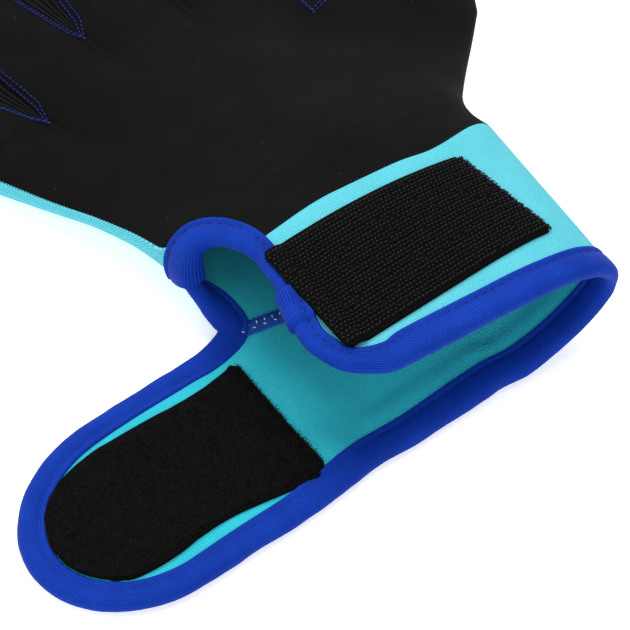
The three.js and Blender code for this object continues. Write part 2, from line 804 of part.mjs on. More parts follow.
// Loop tape on the inside of the strap, its end rounded like the strap's
function loopSurface() {
  const surface = new Surface();
  const rim = strap_binding_width - edge_inset + tape_gap + sheet_gap;
  const tip = strap_tip_length - rim;
  const end = loop_length - tip;
  const middleY = (out) => (strapLow(-out) + strapHigh(-out)) / 2;
  const patch_columns = 7;
  const patch_rows = 8;
  let previous = null;
  for (let i = 0; i <= patch_columns + 4; i += 1) {
    const tipShare = Math.max(0, i - patch_columns) / 4;
    const b = Math.sin((Math.PI / 2) * tipShare);
    const column = [];
    for (let j = 0; j <= patch_rows; j += 1) {
      const a = (2 * j) / patch_rows - 1;
      const x = b * Math.sqrt(1 - (a * a) / 2);
      const y = a * Math.sqrt(1 - (b * b) / 2);
      const body = tip_start - end * (1 - Math.min(1, i / patch_columns));
      const corner = i === 0 && Math.abs(a) === 1 ? hook_corner : 0;
      const centre = new THREE.Vector3(-body - corner, middleY(Math.min(body, tip_start)), 0);
      const point = centre.addScaledVector(strap_axis, x * tip);
      const at = new THREE.Vector3(point.x, point.y + (y * loop_width) / 2, wall / 2 + lift);
      column.push(surface.add(at));
    }
    if (previous) surface.band(previous, column);
    previous = column;
  }
  return surface;
}

// Overlocked seam inside, over the joint of the cuff and the hand, from the notch round to the
// free end
function seamGeometry() {
  const surface = new Surface();
  const seam_columns = 30;
  let previous = null;
  for (let i = 0; i <= seam_columns; i += 1) {
    const degrees = lerp(seam_from, seam_to, i / seam_columns);
    const out = -handPoint(degrees, 0).x;
    const v = 1 - seam_width / 2 / cuff_length;
    const onCuff = degrees > -90 ? strapPoint(out, v) : ringAt(degrees + 360, v);
    const column = [onCuff, handPoint(degrees, seam_width / 2 / palm_length)];
    const rails = column.map((point) => surface.add(point));
    if (previous) surface.band(previous, rails);
    previous = rails;
  }
  const base = -wall / 2 - 1.5 * tape_gap;
  return surface.solid(base, base - seam_thickness);
}

const colors = {
  black: 0x1b1b1d,
  cyan: 0x4fcfdc,
  blue: 0x1740b8,
  tape: 0x141414,
};

function addPiece(name, geometry, color, roughness) {
  const material = new THREE.MeshStandardMaterial({ color, roughness, metalness: 0 });
  const mesh = new THREE.Mesh(geometry, material);
  mesh.name = name;
  glove.add(mesh);
}

const glove = new THREE.Group();
addPiece("palm_panel", panelSurface(1).solid(wall / 2, -wall / 2), colors.black, 0.9);
addPiece("back_panel", panelSurface(-1).solid(wall / 2, -wall / 2), colors.cyan, 0.85);
addPiece("cuff_band", cuffSurface().solid(wall / 2, -wall / 2), colors.cyan, 0.85);
addPiece("edge_binding", bindingGeometry(), colors.blue, 0.7);
addPiece("hook_patch", hookGeometry(), colors.tape, 0.95);
const patch_base = wall / 2 + tape_gap;
addPiece("loop_patch", loopSurface().solid(patch_base + patch_thickness, patch_base), colors.tape, 1);
addPiece("cuff_seam", seamGeometry(), colors.blue, 0.8);

export default glove;
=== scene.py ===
import math

import bpy
import numpy as np
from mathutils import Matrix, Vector, noise


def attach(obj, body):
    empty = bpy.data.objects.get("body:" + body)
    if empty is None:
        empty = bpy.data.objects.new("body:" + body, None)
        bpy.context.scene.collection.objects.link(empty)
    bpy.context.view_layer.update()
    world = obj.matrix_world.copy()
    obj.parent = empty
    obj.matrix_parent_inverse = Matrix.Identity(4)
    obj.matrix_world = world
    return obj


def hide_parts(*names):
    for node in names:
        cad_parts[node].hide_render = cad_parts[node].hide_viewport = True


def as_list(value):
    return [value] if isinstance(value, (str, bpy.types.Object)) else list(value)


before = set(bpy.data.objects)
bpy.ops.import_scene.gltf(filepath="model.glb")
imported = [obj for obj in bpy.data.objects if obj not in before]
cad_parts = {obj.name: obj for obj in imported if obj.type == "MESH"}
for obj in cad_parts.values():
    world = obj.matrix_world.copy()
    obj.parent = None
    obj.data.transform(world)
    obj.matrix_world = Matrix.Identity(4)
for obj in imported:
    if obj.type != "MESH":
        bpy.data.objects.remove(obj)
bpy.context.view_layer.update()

# Right-hand webbed swim glove lying palm side up, its wrist strap open.
# Lengths are millimetres until a mesh is made. +Y runs to the fingertips and +X to the thumb side.

MM = 0.001

# Camera, fitted to the photograph
AZIMUTH = math.radians(-34)
ELEVATION = math.radians(48)
DISTANCE = 0.55
FOCAL = 125.7
SENSOR = 36.0
LOOK_AT = Vector((-0.018, 0.022, 0.0))

# Cloth
WALL = 2.2
LIFT = 1.6
RIM_ROUND = 0.75

# Cuff
CUFF_LENGTH = 50.0
MOUTH_Y = -25.5
OVERHANG = 1.5
WRIST_HALF = 44.0
MOUTH_HALF = 37.0
MOUTH_DROP = 1.5
FLAT_UNDER = 10.0
CUFF_HEIGHT = 34.0
SEAM_RISE = 9.0
SEAM_RISE_START = 0.35
PALM_ARCH = 3.4
PALM_ARCH_RISE = (-37.0, -9.0)
PALM_ARCH_FALL = (8.0, 38.0)
FREE_END = 39.0
MOUTH_SECTION = {"top_left": 9.0, "top_right": 2.9, "low_left": 2.0, "low_right": 1.45}
SEAM_Y = MOUTH_Y + CUFF_LENGTH
RING_MIDDLE = CUFF_HEIGHT / 2
RING_RISE = (CUFF_HEIGHT - WALL) / 2

# Strap
STRAP_REACH = 116.5
STRAP_WIDTH = 56.0
STRAP_TIP = 30.0
STRAP_SLOPE = math.tan(math.radians(5.6))
STRAP_NARROWING = 1.25
STRAP_START = -7.0
STRAP_ROOT = (0.96, 1.08)

# Hand
PALM_LENGTH = 117.0
NOTCH_DEPTH = 14.0
FINGER_HEIGHT = 14.0
MIDDLE_FINGER = 78.0
FINGER_WIDTH = 25.0
CROTCH = 3.0
TIP_STRETCH = 1.15
FINGER_EASE = 0.6
FINGER_WAIST = 0.12
WEB_REACH = 0.66
WEB_END = 0.9
WEB_DIP = 0.24
WEB_SAG = 2.5
SHEET_GAP = 0.3
NOTCH_TOP = 58.0
NOTCH_BOTTOM = -29.0
NOTCH_TOP_TURN = (NOTCH_TOP, 0.55)
NOTCH_BOTTOM_TURN = (NOTCH_BOTTOM, 0.25)
OPENING_CURVE = 0.9
OPENING_TURN = 20.0
SEAM_ANGLE = 22.0
SIDE_ANGLE = 7.0
SIDE_TURN = 0.14
SIDE_LAP_END = 0.6
FLATTENING = 0.58
FLAT_UNDER_END = 0.4
PALM_ARCH_END = 0.25

# Binding
EDGE_INSET = 2.7
BINDING = 8.7
STRAP_BINDING = 6.9
NOTCH_BINDING = 8.8
FREE_END_BINDING = 5.8


def as_table(names, *rows):
    """Rows of a table, each with a value under every name."""
    return [dict(zip(names, row)) for row in rows]


LEFT_SIDE = as_table(
    ("along", "out"),
    (0.0, 1.0), (0.12, 1.01), (0.22, 1.04), (0.3, 1.08),
    (0.39, 1.16), (0.48, 1.26), (0.58, 1.38), (0.667, 1.5),
)
RIGHT_SIDE = as_table(
    ("along", "out"),
    (0.075, 1.0), (0.13, 0.99), (0.19, 1.03), (0.245, 1.11),
    (0.3, 1.23), (0.37, 1.4), (0.45, 1.6), (0.53, 1.8),
)
ROOTS = as_table(
    ("along", "out"),
    (0.667, -1.5), (0.769, -1.0), (0.991, -0.43), (1.009, 0.28), (0.752, 0.94), (0.53, 1.8),
)

# From the little finger to the thumb
FINGERS = as_table(
    ("lean", "length", "tip"),
    (-26, 0.78, 0.88), (-12, 0.96, 0.96), (0, 1.0, 1.0), (11, 1.03, 0.98), (44, 0.8, 1.08),
)
HAND_SECTIONS = as_table(
    ("at", "middle", "rise", "top_left", "top_right", "low_left", "low_right"),
    (0.0, 1.0, 1.0, 5.0, 2.6, 2.4, 2.4),
    (0.16, 0.97, 0.95, 3.4, 2.5, 2.4, 2.6),
    (0.32, 0.88, 0.85, 2.2, 2.4, 2.5, 2.8),
    (0.5, 0.72, 0.69, 2.1, 2.2, 2.3, 2.4),
    (0.7, 0.57, 0.53, 2.0, 2.0, 2.0, 2.0),
    (1.0, 0.43, 0.39, 2.0, 2.0, 2.0, 2.0),
)
FREE_END_OUTLINE = as_table(
    ("at", "out"),
    (0.0, 0.74), (0.12, 0.93), (0.24, 0.985), (0.36, 1.0), (0.58, 0.93), (0.77, 0.88), (1.0, 0.87),
)
NOTCH_AT = NOTCH_DEPTH / (PALM_LENGTH * LEFT_SIDE[-1]["along"])


def lerp(a, b, t):
    return a + (b - a) * t


def smooth(t):
    t = np.clip(t, 0, 1)
    return t * t * (3 - 2 * t)


def rise(x, start, end):
    """Soft step from 0 at the start to 1 at the end."""
    return smooth((x - start) / (end - start))


def bump(x, centre, half):
    """One soft hump of height 1, from centre - half to centre + half."""
    return smooth(1 - np.abs((x - centre) / half))


def length_of(v):
    return np.sqrt((v * v).sum(-1))


def unit(v):
    return v / np.maximum(length_of(v), 1e-12)[..., None]


def to_disc(a, b):
    """Place on a round disc of a place on a square, both reaching from -1 to 1."""
    return a * np.sqrt(1 - b * b / 2), b * np.sqrt(1 - a * a / 2)


def surface_normals(surface, p, q, step_p, step_q):
    """Normals of a surface at its two parameters."""
    along_p = surface(p + step_p, q) - surface(p - step_p, q)
    return unit(np.cross(along_p, surface(p, q + step_q) - surface(p, q - step_q)))


def path_marks(path):
    """Length along a path at each of its points."""
    return np.concatenate([[0], np.cumsum(length_of(np.diff(path, axis=0)))])


def stack(*parts):
    return np.stack(np.broadcast_arrays(*parts), -1).astype(float)


def table(rows, key, column, at):
    """Value of a table's column at a place, along a smooth curve through its rows."""
    xs = np.array([row[key] for row in rows])
    ys = np.array([row[column] for row in rows])
    slopes = np.empty(len(xs))
    slopes[1:-1] = (ys[2:] - ys[:-2]) / (xs[2:] - xs[:-2])
    slopes[0] = (ys[1] - ys[0]) / (xs[1] - xs[0])
    slopes[-1] = (ys[-1] - ys[-2]) / (xs[-1] - xs[-2])
    i = np.searchsorted(xs[1:-1], at, side="left")
    span = xs[i + 1] - xs[i]
    t = (at - xs[i]) / span
    leaving = slopes[i] * span * t * (1 - t) ** 2
    arriving = slopes[i + 1] * span * t * t * (t - 1)
    return lerp(ys[i], ys[i + 1], t * t * (3 - 2 * t)) + leaving + arriving


def section_at(degrees, top_left, top_right, low_left, low_right):
    """Cosine, sine and the roundness of the quarter that an angle is in, the left side being 0."""
    c = np.cos(np.radians(degrees))
    s = np.sin(np.radians(degrees))
    top, low = np.where(c > 0, top_left, top_right), np.where(c > 0, low_left, low_right)
    return c, s, np.where(s > 0, top, low)


def section_share(degrees, *quarters):
    """Rounded section at an angle from the left side (0) over the top (90)."""
    c, s, power = section_at(degrees, *quarters)
    return -np.sign(c) * np.abs(c) ** (2 / power), np.sign(s) * np.abs(s) ** (2 / power)


def polar_share(degrees, *quarters):
    """The same rounded section, met by a straight line at an angle from its middle."""
    c, s, power = section_at(degrees, *quarters)
    reach = (np.abs(c) ** power + np.abs(s) ** power) ** (-1 / power)
    return -c * reach, s * reach


# Plan of the hand

ROOT_POINTS = np.array([(row["out"] * WRIST_HALF, SEAM_Y + row["along"] * PALM_LENGTH) for row in ROOTS])


def finger_roots():
    ends = []
    for i in range(len(FINGERS)):
        a, b = ROOT_POINTS[i], ROOT_POINTS[i + 1]
        along = unit(b - a)
        left = a if i == 0 else a + along * CROTCH / 2
        right = b if i == len(FINGERS) - 1 else b - along * CROTCH / 2
        ends.append((left, right))
    return ends


FINGER_ROOTS = finger_roots()


def girth_marks():
    """Share across the hand, -1 to 1, of both ends of each finger's root."""
    points = [end for ends in FINGER_ROOTS for end in ends]
    steps = [0.0] + [float(length_of(b - a)) for a, b in zip(points, points[1:])]
    marks = np.cumsum(steps)
    return 2 * marks / marks[-1] - 1, np.array(points)


MARKS, MARK_POINTS = girth_marks()


def wrist_y(across):
    return SEAM_Y + SEAM_RISE * rise(across, SEAM_RISE_START, 1)


def palm_arch(x):
    """How far the palm's seam arches toward the fingers at a place across the wrist."""
    return PALM_ARCH * rise(x, *PALM_ARCH_RISE) * (1 - rise(x, *PALM_ARCH_FALL))


def side_point(rows, sign, v):
    along = lerp(rows[0]["along"], rows[-1]["along"], v)
    return sign * table(rows, "along", "out", along) * WRIST_HALF, SEAM_Y + along * PALM_LENGTH


def plan_point(across, v):
    u = (1 + across) / 2
    a = np.clip(across, -1, 1)
    wrist = (across * WRIST_HALF, wrist_y(across))
    root = (np.interp(a, MARKS, MARK_POINTS[:, 0]), np.interp(a, MARKS, MARK_POINTS[:, 1]))
    left = side_point(LEFT_SIDE, -1, v)
    right = side_point(RIGHT_SIDE, 1, v)
    corners = (
        (-WRIST_HALF, float(wrist_y(-1.0))),
        (WRIST_HALF, float(wrist_y(1.0))),
        tuple(ROOT_POINTS[0]),
        tuple(ROOT_POINTS[-1]),
    )
    out = []
    for k in range(2):
        low_left, low_right, high_left, high_right = (corner[k] for corner in corners)
        out.append(
            (1 - v) * wrist[k] + v * root[k] + (1 - u) * left[k] + u * right[k]
            - (1 - u) * (1 - v) * low_left - u * (1 - v) * low_right
            - (1 - u) * v * high_left - u * v * high_right
        )
    return out


def left_border(side, v):
    """Angle of the open edge beside the notch, on the palm's (1) or the back's (-1) side."""
    end, power = NOTCH_TOP_TURN if side > 0 else NOTCH_BOTTOM_TURN
    return lerp(SEAM_ANGLE, end, np.clip(1 - v / NOTCH_AT, 0, 1) ** power)


def strap_raise(x):
    """How far the lower layer is lifted by the strap's binding: 0 under the wrist, 1 on the strap."""
    return rise(-x / WRIST_HALF, 0.5, 0.8)


def hand_point(degrees, v):
    """Middle surface of the hand from the wrist seam (0) to the finger roots (1)."""
    at = np.minimum(v, 1)
    value = {name: table(HAND_SECTIONS, "at", name, at) for name in HAND_SECTIONS[0] if name != "at"}
    across, up = section_share(degrees, *(value[name] for name in MOUTH_SECTION))
    amount = (FLAT_UNDER / WRIST_HALF) * (1 - smooth(at / FLAT_UNDER_END))
    under = (degrees < -90) & (degrees > -180)
    across = np.where(under, amount + across * (1 - amount), across)
    x, y = plan_point(across, at)
    y = y + palm_arch(x) * (degrees > 0) * (1 - smooth(at / PALM_ARCH_END))
    middle = value["middle"] * RING_MIDDLE
    half = value["rise"] * RING_RISE
    z = middle + half * up
    opened = (1 - smooth(at / NOTCH_AT) ** OPENING_CURVE) * smooth(-degrees / OPENING_TURN)
    flat = middle - half + LIFT * strap_raise(x)
    z = np.where(np.cos(np.radians(degrees)) > 0, lerp(z, flat, opened), z)
    return stack(x, y, z)


# Fingers and webs past their roots

FINGER_MIDDLE = FINGER_HEIGHT / 2
FINGER_RISE = (FINGER_HEIGHT - WALL - SHEET_GAP) / 2
WEB_LEVEL = WALL / 2


def finger_shape(i):
    left, right = FINGER_ROOTS[i]
    lean = math.radians(FINGERS[i]["lean"])
    along = np.array([math.sin(lean), math.cos(lean)])
    radius = FINGERS[i]["tip"] * FINGER_WIDTH / 2
    length = FINGERS[i]["length"] * MIDDLE_FINGER
    centre = (left + right) / 2 + along * (length - radius * TIP_STRETCH)
    return {
        "left": left,
        "right": right,
        "along": along,
        "across": np.array([along[1], -along[0]]),
        "radius": radius,
        "centre": centre,
    }


SHAPES = [finger_shape(i) for i in range(len(FINGERS))]


def finger_edge(i, sign, t):
    shape = SHAPES[i]
    start = shape["left"] if sign < 0 else shape["right"]
    end = shape["centre"] + shape["across"] * sign * shape["radius"]
    ease = t * (1 + FINGER_EASE - FINGER_EASE * t)
    narrow = (ease - t) * float(length_of(end - start)) * FINGER_WAIST
    t = np.asarray(t, float)[..., None]
    return start + (end - start) * t - shape["across"] * sign * np.asarray(narrow)[..., None]


def joined(i, sign, t):
    """How far a finger's side is joined to a web (1) or free (0)."""
    if (i == 0 and sign < 0) or (i == len(FINGERS) - 1 and sign > 0):
        return np.zeros_like(np.asarray(t, float))
    return 1 - rise(t, WEB_REACH, WEB_END)


def finger_point(side, i, rho, t):
    left, right = finger_edge(i, -1, t), finger_edge(i, 1, t)
    rho, t = np.broadcast_arrays(np.asarray(rho, float), np.asarray(t, float))
    plan = left + (right - left) * ((1 + rho) / 2)[..., None]
    joint = np.where(rho < 0, joined(i, -1, t), joined(i, 1, t))
    base = joint * WEB_LEVEL
    bulge = (FINGER_RISE - base) * np.maximum(0, 1 - rho * rho) ** (0.5 + 0.5 * joint)
    z = FINGER_MIDDLE + side * (SHEET_GAP / 2 + base + bulge)
    return stack(plan[..., 0], plan[..., 1], z)


def web_point(side, i, share, t):
    dipped = t * (1 - WEB_DIP * np.sin(np.pi * share))
    left, right = finger_edge(i, 1, dipped), finger_edge(i + 1, -1, dipped)
    plan = left + (right - left) * np.asarray(share, float)[..., None]
    z = FINGER_MIDDLE - WEB_SAG * t * np.sin(np.pi * share) + side * (SHEET_GAP / 2 + WEB_LEVEL)
    return stack(plan[..., 0], plan[..., 1], z)


# Cuff ring and strap

SHEET_MOUTH = MOUTH_Y + EDGE_INSET
TIP_START = STRAP_REACH - EDGE_INSET - STRAP_TIP
STRAP_AXIS = unit(np.array([-1.0, -STRAP_SLOPE, 0.0]))


def strap_low(x):
    """Lower edge of the strap and of the cuff's under side, waved a little."""
    wave = 0.9 * bump(x, -33, 13) - 0.5 * bump(x, -58, 14)
    return SHEET_MOUTH + STRAP_SLOPE * x + wave


def strap_high(x):
    """Upper edge of the strap, and the wrist seam where the strap has ended."""
    root = SHEET_MOUTH - STRAP_SLOPE * WRIST_HALF + STRAP_WIDTH - 2 * EDGE_INSET
    along = np.clip((-x - WRIST_HALF) / (TIP_START - WRIST_HALF), 0, 1.5)
    strap = root - along * (TIP_START - WRIST_HALF) * STRAP_SLOPE * STRAP_NARROWING
    return lerp(SEAM_Y, strap, rise(-x / WRIST_HALF, *STRAP_ROOT))


def flat_height(x, y):
    """Height of the band where it lies flat, raised over the binding and softly rumpled."""
    mouth = 1 - rise(y - strap_low(x), BINDING, BINDING + 6)
    rumple = 1.3 * bump(x, -44, 16) * bump(y, -19, 12) + 0.7 * bump(x, -74, 22) * bump(y, 12, 14)
    return WALL / 2 + LIFT * np.maximum(mouth, strap_raise(x)) + rumple


def ring_middle(v):
    return lerp(RING_MIDDLE + MOUTH_DROP, RING_MIDDLE, smooth(v))


def squareness(quarter, v):
    at_seam = MOUTH_SECTION["low_left"] if quarter == "low_left" else HAND_SECTIONS[0][quarter]
    return lerp(MOUTH_SECTION[quarter], at_seam, v)


def ring_at(degrees, v):
    """Middle surface of the cuff ring, from its mouth (0) to the wrist seam (1)."""
    left = np.cos(np.radians(degrees)) > 0
    half = np.where(left, WRIST_HALF, lerp(MOUTH_HALF, WRIST_HALF, v))
    middle = ring_middle(v)
    across, up = polar_share(degrees, *(squareness(name, v) for name in MOUTH_SECTION))
    amount = FLAT_UNDER / half
    x = np.where(degrees > 180, amount + across * (1 - amount), across) * half
    bottom = flat_height(x, strap_low(x) + v * CUFF_LENGTH)
    z = middle + up * np.where(up > 0, CUFF_HEIGHT - WALL / 2 - middle, middle - bottom)
    mouth = SHEET_MOUTH - OVERHANG * smooth(up * 2)
    return stack(x, lerp(mouth, wrist_y(x / WRIST_HALF) + palm_arch(x) * (up > 0), v), z)


def ring_point(t, v):
    """The ring from the free end (0) round the fold on the thumb side to the middle below (1)."""
    reach = np.minimum(1, table(FREE_END_OUTLINE, "at", "out", v) * FREE_END / WRIST_HALF)
    power = squareness("top_left", v)
    start = np.degrees(np.arctan2((1 - reach ** power) ** (1 / power), reach))
    return ring_at(lerp(start, 270.0, t), v)


def on_strap(out, y):
    return stack(-out, y, flat_height(-out, y))


def on_cuff_top(x, y):
    """Upper layer of the cuff by its place in plan."""
    v = (y - SHEET_MOUTH) / (SEAM_Y - SHEET_MOUTH)
    half = np.where(x < 0, WRIST_HALF, lerp(MOUTH_HALF, WRIST_HALF, v))
    middle = ring_middle(v)
    power = np.where(x < 0, squareness("top_left", v), squareness("top_right", v))
    up = (1 - np.minimum(1, np.abs(x) / half) ** power) ** (1 / power)
    return stack(x, y, middle + (CUFF_HEIGHT - WALL / 2 - middle) * up)


# Meshes

RIM_ANGLES = (65, 35, 0, -35, -65)


class Cloth:
    """Sheet under construction: points, each with its place in the flat cut, and faces."""

    def __init__(self, flipped=False):
        self.points = []
        self.flat = []
        self.faces = []
        # Points whose normals stay level
        self.level = set()
        self.flipped = flipped

    def add(self, point, flat, level=False):
        self.points.append(tuple(point))
        self.flat.append(tuple(flat))
        if level:
            self.level.add(len(self.points) - 1)
        return len(self.points) - 1

    def face(self, *corners):
        ring = [c for i, c in enumerate(corners) if c != corners[i - 1]]
        if len(ring) > 2:
            self.faces.append(tuple(reversed(ring)) if self.flipped else tuple(ring))

    def band(self, lower, upper):
        for i in range(len(lower) - 1):
            corners = (lower[i], lower[i + 1], upper[i + 1], upper[i])
            if None not in corners:
                self.face(*corners)

    def grid(self, points, flat):
        previous = None
        for row, places in zip(points, flat):
            now = [self.add(p, f) for p, f in zip(row, places)]
            if previous is not None:
                self.band(previous, now)
            previous = now

    def normals(self, points):
        normals = np.zeros_like(points)
        for size in (3, 4):
            faces = np.array([f for f in self.faces if len(f) == size], int).reshape(-1, size)
            corners = points[faces]
            n = np.cross(corners[:, size - 2] - corners[:, 0], corners[:, -1] - corners[:, size - 3])
            for k in range(size):
                np.add.at(normals, faces[:, k], n)
        for i in self.level:
            normals[i, 2] = 0
        return unit(normals)

    def solid(self, above, below, roundness=RIM_ROUND):
        """Closed mesh between two offsets, its rim rounded: points, places in the cut, faces."""
        points = np.array(self.points)
        normals = self.normals(points)
        count = len(points)
        middle, half = (above + below) / 2, (above - below) / 2
        edges = dict.fromkeys((a, b) for face in self.faces for a, b in zip(face, face[1:] + face[:1]))
        rim = [(a, b) for a, b in edges if (b, a) not in edges]
        outward = {}
        for a, b in rim:
            direction = np.cross(points[b] - points[a], normals[a] + normals[b])
            for k in (a, b):
                outward[k] = outward.get(k, np.zeros(3)) + unit(direction)
        vertices = [points + normals * above, points + normals * below]
        flat = list(self.flat) * 2
        place = {}
        extra = []
        for k, direction in outward.items():
            side = unit(direction - normals[k] * float(direction @ normals[k]))
            place[k] = 2 * count + len(extra)
            for degrees in RIM_ANGLES:
                angle = math.radians(degrees)
                offset = normals[k] * (middle + half * math.sin(angle))
                extra.append(points[k] + offset + side * half * roundness * math.cos(angle))
                flat.append(self.flat[k])
        vertices.append(np.array(extra))
        faces = self.faces + [tuple(k + count for k in reversed(face)) for face in self.faces]
        steps = len(RIM_ANGLES)
        for a, b in rim:
            rail_a = [a] + [place[a] + j for j in range(steps)] + [a + count]
            rail_b = [b] + [place[b] + j for j in range(steps)] + [b + count]
            for j in range(steps + 1):
                faces.append((rail_b[j], rail_a[j], rail_a[j + 1], rail_b[j + 1]))
        return np.concatenate(vertices), flat, faces


def soft_noise(points, size, seed):
    """Slow bumps of about the given size, from -1 to 1."""
    return np.array([noise.noise(Vector(p) / size + Vector((seed, 7.3, 1.9))) for p in points])


def make_piece(name, points, faces, material, slot, node=None, flat=None, inside_shade=None, inside_shaded_faces=()):
    """Piece of the glove from millimetres; its places in the cut become a map, 10 mm a unit."""
    mesh = bpy.data.meshes.new(name)
    mesh.from_pydata([tuple(float(c) * MM for c in p) for p in points], [], [tuple(f) for f in faces])
    mesh.polygons.foreach_set("use_smooth", [True] * len(mesh.polygons))
    if flat is not None:
        layer = mesh.uv_layers.new(name="cut")
        index = np.empty(len(mesh.loops), int)
        mesh.loops.foreach_get("vertex_index", index)
        layer.data.foreach_set("uv", (np.array(flat, float)[index] / 10).ravel())
    mesh.materials.append(material)
    # Optional second material on the listed faces: the darker copy that paints the shade inside.
    if inside_shade:
        mesh.materials.append(inside_shade)
        for k in inside_shaded_faces:
            mesh.polygons[k].material_index = 1
    piece = bpy.data.objects.new(name, mesh)
    bpy.context.scene.collection.objects.link(piece)
    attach(piece, "root")
    if node:
        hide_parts(node)
    return piece


def tube(spans, sides, base=0):
    """Faces between the neighbouring rings of a tube."""
    faces = []
    for j in range(spans):
        for k in range(sides):
            a, b = base + j * sides + k, base + j * sides + (k + 1) % sides
            faces.append((a, b, b + sides, a + sides))
    return faces


def capsule_row(centres, directions, normals, length, radius):
    """Short rounded threads, each lying along its direction: points and faces."""
    points, faces = [], []
    sides = 6
    profile = ((-0.5, 0.35), (-0.38, 0.85), (0.0, 1.0), (0.38, 0.85), (0.5, 0.35))
    for centre, along, normal in zip(centres, directions, normals):
        side = np.cross(along, normal)
        base = len(points)
        for at, share in profile:
            sink = -0.5 * radius * (abs(at) * 2) ** 2
            for k in range(sides):
                angle = 2 * math.pi * k / sides
                ring = side * math.cos(angle) + normal * math.sin(angle)
                points.append(centre + along * at * length + ring * radius * share + normal * sink)
        faces += tube(len(profile) - 1, sides, base)
        faces.append(tuple(base + k for k in reversed(range(sides))))
        faces.append(tuple(base + (len(profile) - 1) * sides + k for k in range(sides)))
    return points, faces


def between(at, marks, values):
    """Rows of values at places between their marks."""
    return np.stack([np.interp(at, marks, column) for column in values.T], -1)


def resample(path, step):
    """Points at even steps along a path."""
    marks = path_marks(path)
    count = max(2, int(round(marks[-1] / step)) + 1)
    return between(np.linspace(0, marks[-1], count), marks, path)


def thread_row(path, normals, pitch, length, radius, slant):
    """Stitches along a path that lies on cloth, turned by slant degrees out of its direction."""
    both = resample(np.concatenate([path, normals], -1), pitch / 2)
    centres, ups = both[::2, :3], unit(both[::2, 3:])
    ahead = np.gradient(centres, axis=0)
    ahead = unit(ahead - ups * (ahead * ups).sum(-1)[:, None])
    across = np.cross(ups, ahead)
    turn = math.radians(slant)
    along = ahead * math.cos(turn) + across * math.sin(turn)
    return capsule_row(centres, along, ups, length, radius)


def merged(*groups):
    points, faces = [], []
    for group_points, group_faces in groups:
        base = len(points)
        points += [tuple(p) for p in group_points]
        faces += [tuple(k + base for k in f) for f in group_faces]
    return points, faces


# Materials


class Shader:
    """Node tree of one material, with short calls for its nodes."""

    def __init__(self, name):
        self.material = bpy.data.materials.new(name)
        self.material.use_nodes = True
        self.tree = self.material.node_tree
        self.surface = self.tree.nodes["Principled BSDF"]

    def node(self, kind, **inputs):
        node = self.tree.nodes.new(kind)
        for key, value in inputs.items():
            self.put(node.inputs[key.replace("_", " ")], value)
        return node

    def put(self, socket, value):
        if isinstance(value, bpy.types.NodeSocket):
            self.tree.links.new(value, socket)
        else:
            socket.default_value = value

    def math(self, operation, *values):
        node = self.tree.nodes.new("ShaderNodeMath")
        node.operation = operation
        for socket, value in zip(node.inputs, values):
            self.put(socket, value)
        return node.outputs[0]

    def blend(self, *parts):
        """Sum of (value, weight) parts."""
        weighted = [self.math("MULTIPLY", value, weight) for value, weight in parts]
        total = weighted[0]
        for value in weighted[1:]:
            total = self.math("ADD", total, value)
        return total

    def cut_place(self):
        node = self.tree.nodes.new("ShaderNodeUVMap")
        node.uv_map = "cut"
        parts = self.node("ShaderNodeSeparateXYZ", Vector=node.outputs[0])
        return self.math("MULTIPLY", parts.outputs[0], 10), self.math("MULTIPLY", parts.outputs[1], 10)

    def wave(self, place, pitch):
        """Wave from 0 to 1 along a place in millimetres."""
        angle = self.math("MULTIPLY", place, 2 * math.pi / pitch)
        return self.math("MULTIPLY_ADD", self.math("SINE", angle), 0.5, 0.5)

    def noise(self, size, detail=2.0):
        """Noise fixed to the object, with bumps of about the given size in millimetres."""
        place = self.tree.nodes.new("ShaderNodeTexCoord").outputs["Object"]
        scale = 1 / (size * MM)
        node = self.node("ShaderNodeTexNoise", Vector=place, Scale=scale, Detail=detail, Roughness=0.55)
        return node.outputs["Fac"]

    def ramp(self, value, stops):
        node = self.node("ShaderNodeValToRGB", Fac=value)
        elements = node.color_ramp.elements
        while len(elements) < len(stops):
            elements.new(0.5)
        for element, (at, color) in zip(elements, stops):
            element.position = at
            element.color = (*color, 1)
        return node.outputs["Color"]

    def span(self, value, low, high):
        """The middle of a noise, spread over a range."""
        keys = {"From_Min": 0.3, "From_Max": 0.7, "To_Min": low, "To_Max": high}
        return self.node("ShaderNodeMapRange", Value=value, **keys).outputs["Result"]

    def mix(self, share, base, color):
        node = self.tree.nodes.new("ShaderNodeMix")
        node.data_type = "RGBA"
        self.put(node.inputs["Factor"], share)
        a, b = (socket for socket in node.inputs if socket.type == "RGBA")
        self.put(a, base)
        self.put(b, (*color, 1))
        return next(socket for socket in node.outputs if socket.type == "RGBA")

    def bumps(self, *layers):
        """Bump from (height, distance in millimetres, strength) layers, the last on top."""
        normal = None
        for height, distance, strength in layers:
            node = self.node("ShaderNodeBump", Height=height, Distance=distance * MM, Strength=strength)
            if normal is not None:
                self.put(node.inputs["Normal"], normal)
            normal = node.outputs["Normal"]
        self.put(self.surface.inputs["Normal"], normal)

    def finish(self, color, roughness, specular, sheen=0.0, sheen_roughness=0.45, tint=(1, 1, 1)):
        self.put(self.surface.inputs["Base Color"], color)
        self.put(self.surface.inputs["Roughness"], roughness)
        self.surface.inputs["Sheen Weight"].default_value = sheen
        self.surface.inputs["Sheen Roughness"].default_value = sheen_roughness
        self.surface.inputs["Sheen Tint"].default_value = (*tint, 1)
        self.surface.inputs["Specular IOR Level"].default_value = specular
        return self.material


def srgb(red, green, blue):
    """Linear colour of an sRGB one given in bytes."""
    return tuple(
        c / 12.92 if c <= 0.04045 else ((c + 0.055) / 1.055) ** 2.4
        for c in (red / 255, green / 255, blue / 255)
    )


